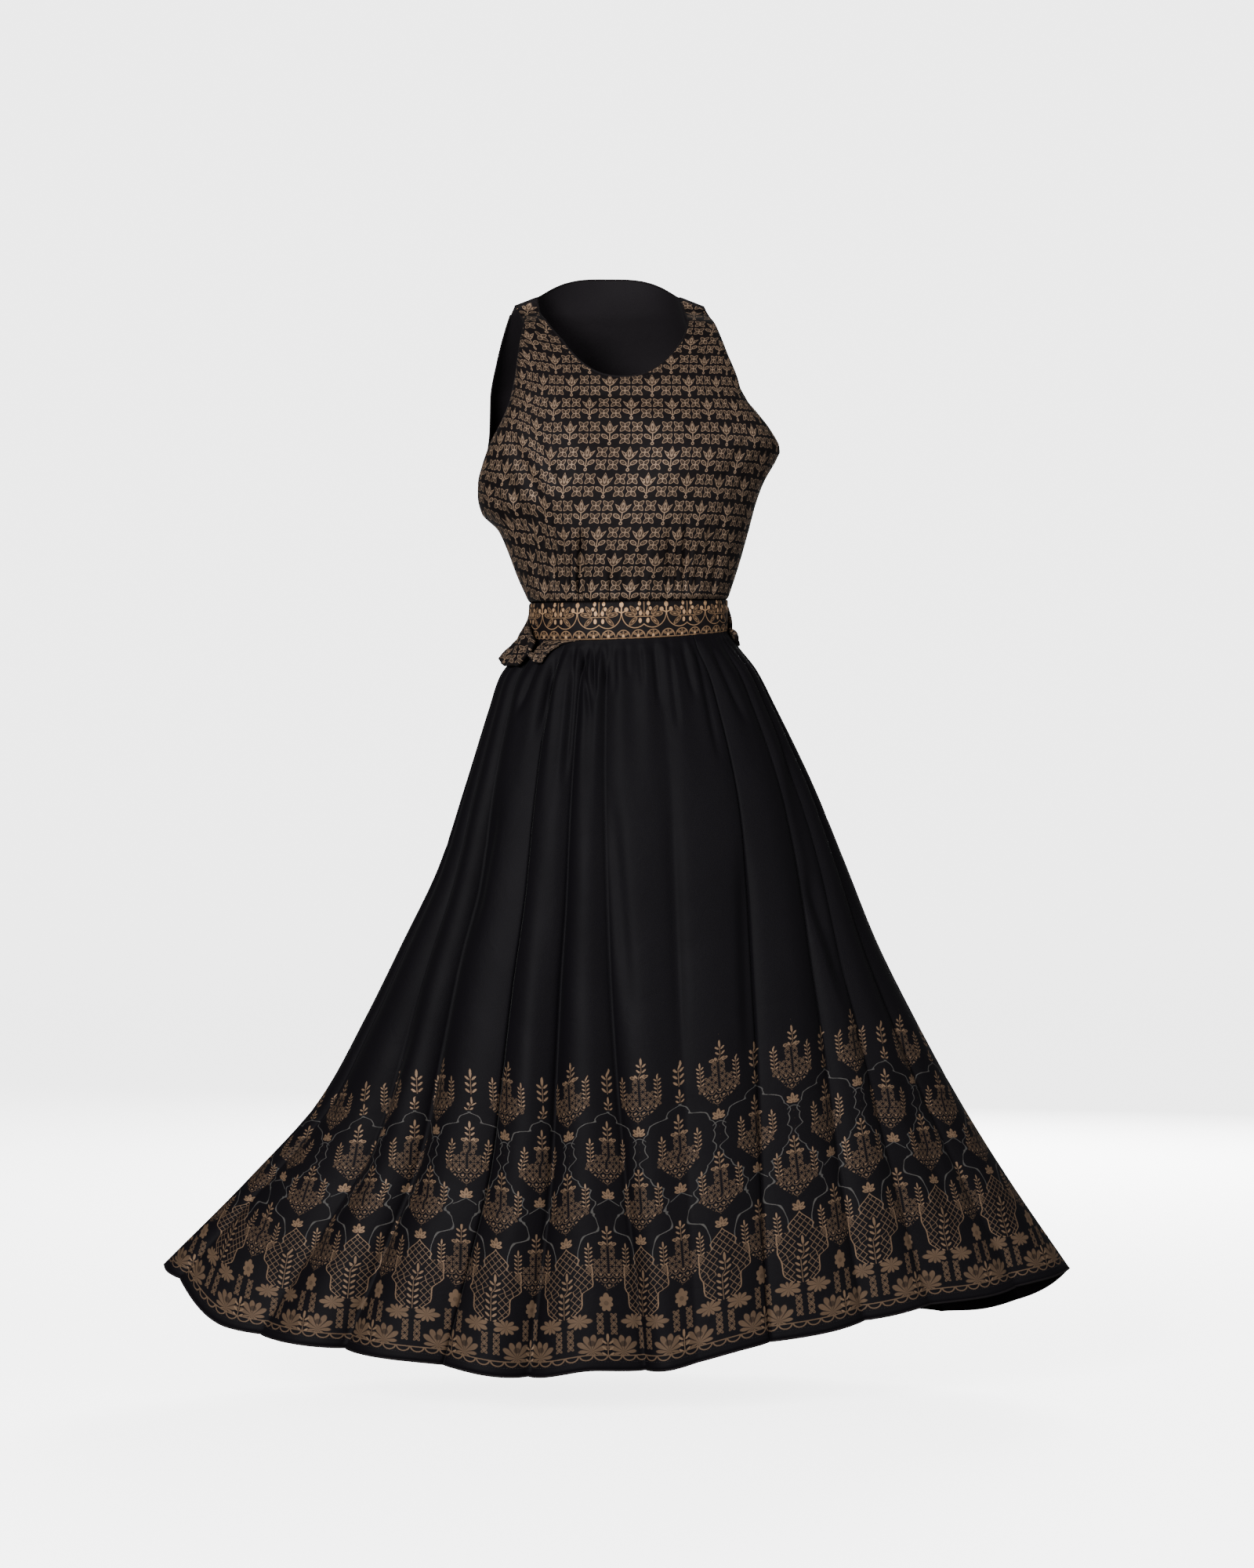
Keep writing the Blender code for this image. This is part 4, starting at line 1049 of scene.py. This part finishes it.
def bush(x, y):
    """A flowering bush 80 tall on a pointed base of scallops: x from its middle, y from its foot."""
    a = absol(x)
    outer = above(a, 15.5)
    spires = spire(choose(x, a - 24.5, outer), y, choose(7.0, 5.4, outer), choose(74.0, 53.0, outer))
    spires = spires * ring(y, choose(54.0, 28.0, outer), choose(81.0, 59.0, outer), 0.5)

    # Four-petal florets in three columns each side, which end in steps
    fx, fy = (absol(centred(length / FLORET) * FLORET) for length in (a, y))
    florets = floret_petal(fx, fy, 3.1, 1.6, 0.50, 0.75, 0.58) * step_out(a, 1.6, 0.4)
    steps = y + 2 * FLORET * above(a, FLORET) + FLORET * above(a, 2 * FLORET)
    body = florets * step_out(y, 2 * FLORET, 0.4) * step_in(steps, 6 * FLORET, 0.4) * step_in(a, 3 * FLORET, 0.4)

    # The scalloped base, each scallop with a bead in it
    row = floor(y / 6.6)
    sx = centred(a / 10.4 + 0.5 * row + 0.5) * 10.4
    sy = y - row * 6.6 - 6.6
    scallop = ring(reach(sx, sy), 4.4, 5.3, 0.4)
    bead = step_in(reach(sx, sy + 1.2), 1.7, 0.5)
    base = high(scallop * 0.5, bead * 0.8) * step_in(a * 0.80, y + 1.5, 0.6) * step_in(y, 20.0, 0.4)
    shoulder_leaf = leaf(a, y, 8.5, 57.0, (0.98, 0.2), 3.6, 2.0)
    extra = step_out(shoulder_leaf, 0.0, 0.15) * (1 - 0.7 * step_out(shoulder_leaf, 0.42, 0.15))
    return high(high(spires, body), high(base, extra))


def lobed(distance, notch, lobes):
    """Inside a leaf cut into lobes, whose notches reach in to a share of its length."""
    return step_in(distance, notch + (1 - notch) * lobes, 0.08)


def lotus(x, y, size):
    """A small open flower on its foot: an upright petal, two leaning out and two low ones."""
    a = absol(x)
    upright = leaf(x, y, 0.0, size * 0.55, (0.0, 1.0), size * 0.60, size * 0.30)
    leaning = leaf(a, y, size * 0.50, size * 0.35, (0.78, 0.62), size * 0.52, size * 0.25)
    lying = leaf(a, y, size * 0.52, -size * 0.12, (0.97, 0.22), size * 0.50, size * 0.22)
    petals = high(high(upright, leaning), lying)
    return step_out(petals, 0.0, 0.2) * (1 - 0.5 * step_out(petals, 0.55, 0.2))


MEDALLION = [(132, 38), (152, 37.3), (168, 29), (173, 12.4), (186, 12.4), (195, 16.6), (196.5, 21.6), (206, 14.9),
             (213, 19.9), (225, 22.4), (229, 29.9), (236, 36.5), (251, 46.4), (259.5, 48), (268, 43), (284, 46.4),
             (289, 45), (293.5, 43), (299, 38), (305, 34), (308, 26), (309.5, 16), (314, 12), (319, 8), (323, 0)]
LATTICE = [(69, 11.6), (78, 22.4), (97.5, 24.9), (104, 32.3), (114, 33), (132, 31), (132.5, 15.8), (141, 15.8),
           (156, 0)]
CURVE_SCALE = 50.0
MOST_LEAN = 4.0


def curve(table, y):
    """A half-width that changes with the height above the hem, from a table of heights and half-widths."""
    first, last = table[0][0], table[-1][0]
    stops = [((height - first) / (last - first), half / CURVE_SCALE) for height, half in table]
    return y.ramp(stops, (y - first) * (1 / (last - first))) * CURVE_SCALE


def steepness(table, y):
    """How much wider a slanting outline reads across than it is."""
    first, last = table[0][0], table[-1][0]
    stops = []
    for (low_at, low_half), (high_at, high_half) in zip(table, table[1:]):
        lean = min(np.hypot(1.0, (high_half - low_half) / (high_at - low_at)), MOST_LEAN)
        stops.append((((low_at + high_at) / 2 - first) / (last - first), lean / MOST_LEAN))
    return y.ramp(stops, (y - first) * (1 / (last - first))) * MOST_LEAN


def border_print(u, y):
    """The hem border: u counts repeats, y is the height above the hem. Gives gold and pale line masks."""
    wave = cosine(u * 6.28318)
    x_lattice = (u - floor(u + 0.5)) * 108.0
    x_tree = (u + 0.5 - floor(u + 1.0)) * 108.0
    a0 = absol(x_lattice)
    a5 = absol(x_tree)

    # Four rows of bushes stand alternately over the two columns
    in_a = above(y, 301.0 - 14.0 * wave)
    above_c = above(y, 232.0 + 20.0 * wave)
    above_d = above(y, 165.0 - 15.0 * wave)
    in_b = above_c - in_a
    in_c = above_d - above_c
    in_d = 1 - above_d
    bx = choose(x_tree, x_lattice, in_a + in_c)
    by = y - (310.0 * in_a + 231.0 * in_b + 175.0 * in_c + 101.0 * in_d)
    gold = bush(bx, by) * step_out(by, -0.5, 0.5)
    gold = high(gold, lotus(bx, by + 14.0, 8.5) * ring(by, -20.0, -2.0, 0.5) * (1 - in_d))

    # Sprigs over the medallions
    sprig = spire(x_tree, y - 344.0, 8.5, 26.0) * ring(y, 346.0, 379.0, 0.5)
    sprout = spire(x_tree, y - 326.0, 6.5, 10.0) * ring(y, 326.0, 343.0, 0.5)
    gold = high(gold, high(sprig, sprout))

    # Lattice with a leafy tree, two big leaves and florets under it
    edge = curve(LATTICE, y)
    inside = step_in(a0, edge, 0.6)
    net = high(step_in(absol(centred((x_lattice + y) / FLORET)), 0.065, 0.05),
               step_in(absol(centred((x_lattice - y) / FLORET)), 0.060, 0.05)) * 0.65
    rim = step_in(absol(a0 - edge), 0.8, 0.5) * step_in(absol(y - 113.0), 44.0, 0.5)
    tree = spire(x_lattice, y - 62.0, 8.2, 56.0) * ring(y, 68.0, 128.0, 0.5)
    clear = 1 - step_in(a0, 9.0, 0.5) * step_in(y, 124.0, 0.5)
    lattice = high(net * clear * inside * step_out(y, 68.0, 0.5), rim * 0.9)
    lattice = high(lattice, tree * 0.85)
    gold = high(gold, lattice * (1 - in_c * step_out(y, 157.0, 0.5)))

    # Broad leaves: one each side of the lattice's foot, and a leafy bank under each tree
    lobes = absol(cosine(turn_of(y - 62.0, a0 - 19.0) * 4.5))
    broad = lobed(reach((a0 - 19.0) / 17.0, (y - 62.0) / 9.5), 0.58, lobes)
    gold = high(gold, broad * (0.24 + 0.36 * step_out(lobes, 0.25, 0.2)))
    fy = absol(centred(y / 9.0) * 9.0)
    for a, off, foot, wide in ((a0, 7.6, 27.0, 12.5), (a5, 8.6, 45.0, 14.0)):
        pillar = floret_petal(absol(a - off), fy, 2.9, 1.7, 0.55, 0.6, 0.55) * ring(y, foot, foot + 27.0, 0.3)
        gold = high(gold, pillar * step_in(a, wide, 0.5))
    lobes = absol(cosine(turn_of(x_tree, y - 84.0) * 3.5))
    top = lobed(reach(x_tree / 9.0, (y - 85.0) / 12.0), 0.72, lobes)
    gold = high(gold, 0.7 * top * (1 - 0.35 * step_in(reach(x_tree, y - 84.0), 3.0, 0.6)))
    lobes = absol(cosine(turn_of(y - 24.0, a5 - 20.0) * 5.5))
    bank = lobed(reach((a5 - 20.0) / 19.0, (y - 31.0) / 14.0), 0.58, lobes)
    bank = bank * (0.16 + 0.40 * step_out(lobes, 0.35, 0.2))
    bank = bank * (1 - 0.6 * step_in(reach((a5 - 20.0) / 5.0, (y - 34.0) / 4.0), 0.9, 0.3))
    sprig = spire(x_tree, y - 19.0, 8.0, 20.0) * ring(y, 20.0, 46.0, 0.5)
    gold = high(gold, high(bank * step_out(y, 20.0, 0.5), sprig))

    # Foot line with hanging scallops
    foot_line = step_in(absol(y - 19.5), 0.7, 0.4)
    hang = ring(reach(centred(u * 6.0) * 17.0 * 0.8, y - 19.5), 5.4, 6.9, 0.4) * step_in(y, 19.5, 0.4)
    gold = high(gold, high(foot_line, hang) * 0.6)

    # Pale outlines: scalloped medallions, their necks and the arches over the lowest bushes
    w = curve(MEDALLION, y)
    slope = steepness(MEDALLION, y)
    lobes = absol(sine(y * 0.224)) * 3.4 * step_out(y, 192.0, 4.0)
    line = step_in(absol(a5 - w - lobes), 0.62 * slope, 0.5) * ring(y, 132.0, 324.0, 0.4)
    cross = step_in(absol(y - 214.0 + 0.55 * a5), 0.5, 0.4) * step_in(a5, 15.0, 0.5)
    link = step_in(absol(y - 290.0 + a0 * a0 * 0.05), 0.5, 0.4) * step_in(a0, 9.0, 0.5)
    pale = high(high(line, cross), link)
    return gold, pale * (1 - step_out(gold, 0.2, 0.1))


def border(across, down):
    """Gold bushes, lattice and leaves, and the pale outlines of the medallions."""
    gold, pale = border_print(across, down * BORDER_SCALE)
    return [(pale, PALE), (gold, GOLD)]


PALE = (0.036, 0.034, 0.032)
BLACK = (0.0020, 0.0016, 0.0024)
GOLD = (0.096, 0.061, 0.038)
border_weave = woven("printed_border_weave", BLACK, 0.72, gloss=0.05, draw=border)
black_weave = woven("black_skirt_weave", BLACK, 0.72, gloss=0.05)
BORDER_TOP = 0.345             # the cloth above this height over the hem has no print

for gore in GORES:
    count = gore.last - gore.first
    columns = FLUTE_COLUMNS * count
    place = lambda across, down: skirt_place(gore.first + count * across, down ** SKIRT_ROW_SPREAD)
    repeats = FRONT_REPEATS if gore.first < SIDE_VALLEY else BACK_REPEATS
    lengths = lambda across, down: skirt_cloth_place(repeats, gore.first + count * across, down ** SKIRT_ROW_SPREAD)
    piece = cloth(gore.name + "_cloth", columns, SKIRT_ROWS, place, SKIRT_CLOTH, lengths,
                  [border_weave, reverse_cloth, black_weave, reverse_cloth])
    heights = piece.data.uv_layers["Cloth"].data
    for polygon in piece.data.polygons:
        if all(heights[loop].uv.y > BORDER_TOP for loop in polygon.loop_indices):
            polygon.material_index = 2
    runs = open_edges(piece, lambda vert: vert.index <= columns)
    stands_for(piece, gore.name,
               sewn_on=[turned_edge(gore.name + "_turned_hem", runs, edge_cloth),
                        stitches(gore.name + "_hem_stitches", piece, runs, HEM_STITCHES, thread)])

# Side ties
# Two printed strips sewn into the side seams. The left one is pulled up into a bunch with two short ends,
# and the right one hangs as a narrow folded loop.
TieRow = namedtuple("TieRow", "at start end off")
TIES = {
    "tie_left_outer": [
        TieRow(-356, -3, 7, 0.6),
        TieRow(-372, -6, 15, 3.0),
        TieRow(-388, -7, 24, 7.0),
        TieRow(-403, -5, 29, 8.5),
        TieRow(-414, -1, 27, 7.5),
    ],
    "tie_left_inner": [
        TieRow(-387, 34, 62, 0.3),
        TieRow(-392, 33, 50, 1.2),
        TieRow(-403, 34, 45, 3.5),
        TieRow(-413, 34, 44, 4.0),
    ],
    "tie_right": [
        TieRow(-346, 176, 187, 0.4),
        TieRow(-366, 175, 185, 4.5),
        TieRow(-382, 171, 182, 4.0),
        TieRow(-390, 170, 183, 2.0),
    ],
}
TIE_CLOTH = 0.8 * MM
TIE_FOLDS = 3.0
TIE_CORNER = 0.011
TIE_WIDTH = 0.062
TIE_LENGTH = 0.075
TIE_SLANT = 0.4
TieCut = namedtuple("TieCut", "width length layers fold puff spread")
TIE_CUTS = {
    "tie_left_outer": TieCut(0.062, 0.085, 5, 1.5, 6.5, 9.0),
    "tie_left_inner": TieCut(0.030, 0.045, 1, 1.0, 0.5, 0.0),
    "tie_right": TieCut(0.030, 0.050, 6, 0.3, 0.0, 0.0),
}


def tie_place(name):
    """Outer face of a tie: it lies on the band or skirt, moved out, with soft lengthwise folds."""
    table, cut = TIES[name], TIE_CUTS[name]

    def place(across, down):
        height = table[0].at + (table[-1].at - table[0].at) * down
        ordered = list(reversed(table))
        puffed = np.sin(np.pi * down) ** 2
        start = read(ordered, "start", height)
        end = read(ordered, "end", height) + cut.spread * puffed
        off = read(ordered, "off", height) * MM
        turn = start + (end - start) * across
        z = height * MM
        top = band_bottom(turn)
        hem = read(HEM, "height", turn % 360.0) * MM
        at = ((z - top) / (hem - top)).clip(min=0)
        points = skirt_base(turn, at)
        outward = skirt_base(turn + 0.5, at) - skirt_base(turn - 0.5, at)
        length = np.hypot(outward[:, 0], outward[:, 1])
        wave = np.sin(2 * np.pi * (TIE_FOLDS * across + 0.25 * np.sin(3 * down)))
        off = off + (0.6 + cut.puff * puffed + cut.fold * ease(0.0, 0.4, down) * (wave - 0.2)) * MM
        points[:, 0] += outward[:, 1] / length * off
        points[:, 1] -= outward[:, 0] / length * off
        points[:, 2] = z + TIE_CORNER * ease(0.45, 1.0, down) * (1 - across).clip(0, 1) ** 3
        return points
    return place


def tie_lengths(across, down):
    """Cloth lengths over a tie, which is cut slantwise across the print."""
    return np.column_stack([across * TIE_WIDTH - TIE_SLANT * down * TIE_LENGTH, -down * TIE_LENGTH])


for name, cut in TIE_CUTS.items():
    tie = cloth(name + "_cloth", 44, 48, tie_place(name), cut.layers * TIE_CLOTH, tie_lengths, [printed_cloth] * 2)
    stands_for(tie, name)

# Floor and light
# A pale floor that runs up into a pale wall behind the dress, and broad soft lamps, as in a studio.
FLOOR = -1.245
STUDIO = 8.0
bm = bmesh.new()
bmesh.ops.create_grid(bm, x_segments=2, y_segments=1, size=STUDIO)
back_edge = [edge for edge in bm.edges if all(vert.co.y > STUDIO - 0.1 for vert in edge.verts)]
raised = bmesh.ops.extrude_edge_only(bm, edges=back_edge)["geom"]
raised = [part for part in raised if isinstance(part, bmesh.types.BMVert)]
bmesh.ops.translate(bm, vec=(0, 0, 1.2 * STUDIO), verts=raised)
bmesh.ops.bevel(bm, geom=back_edge, offset=1.2, offset_type="OFFSET", affect="EDGES", segments=14, profile=0.5,
                material=-1)
bmesh.ops.translate(bm, vec=(0, 0, FLOOR), verts=bm.verts)
paper = bpy.data.materials.new("pale_paper")
paper.use_nodes = True
for name, value in {"Base Color": (0.90, 0.90, 0.90, 1.0), "Roughness": 0.9,
                    "Emission Color": (1.0, 1.0, 1.0, 1.0), "Emission Strength": 3.7}.items():
    paper.node_tree.nodes["Principled BSDF"].inputs[name].default_value = value
studio_floor = add_object("studio_floor", bm, [paper])
studio_floor.visible_glossy = False
studio_floor.visible_diffuse = False

for name, place, aim, size, power in [("key_lamp", (-1.35, -3.1, 0.25), (0, 0, -0.5), 1.3, 300.0),
                                      ("fill_lamp", (2.6, -2.2, 0.0), (0, 0, -0.6), 1.6, 85.0),
                                      ("back_lamp", (0.8, 3.0, 0.4), (0, 0, -0.5), 1.6, 330.0)]:
    lamp = bpy.data.lights.new(name, "AREA")
    lamp.shape = "DISK"
    lamp.size = size
    lamp.energy = power
    made = bpy.data.objects.new(name, lamp)
    made.location = place
    towards = Vector(aim) - Vector(place)
    made.rotation_euler = towards.to_track_quat("-Z", "Y").to_euler()
    made.visible_glossy = name != "back_lamp"
    bpy.context.scene.collection.objects.link(made)
sky = bpy.data.worlds.new("studio")
sky.use_nodes = True
for name, value in {"Color": (1.0, 1.0, 1.0, 1.0), "Strength": 0.16}.items():
    sky.node_tree.nodes["Background"].inputs[name].default_value = value
bpy.context.scene.world = sky
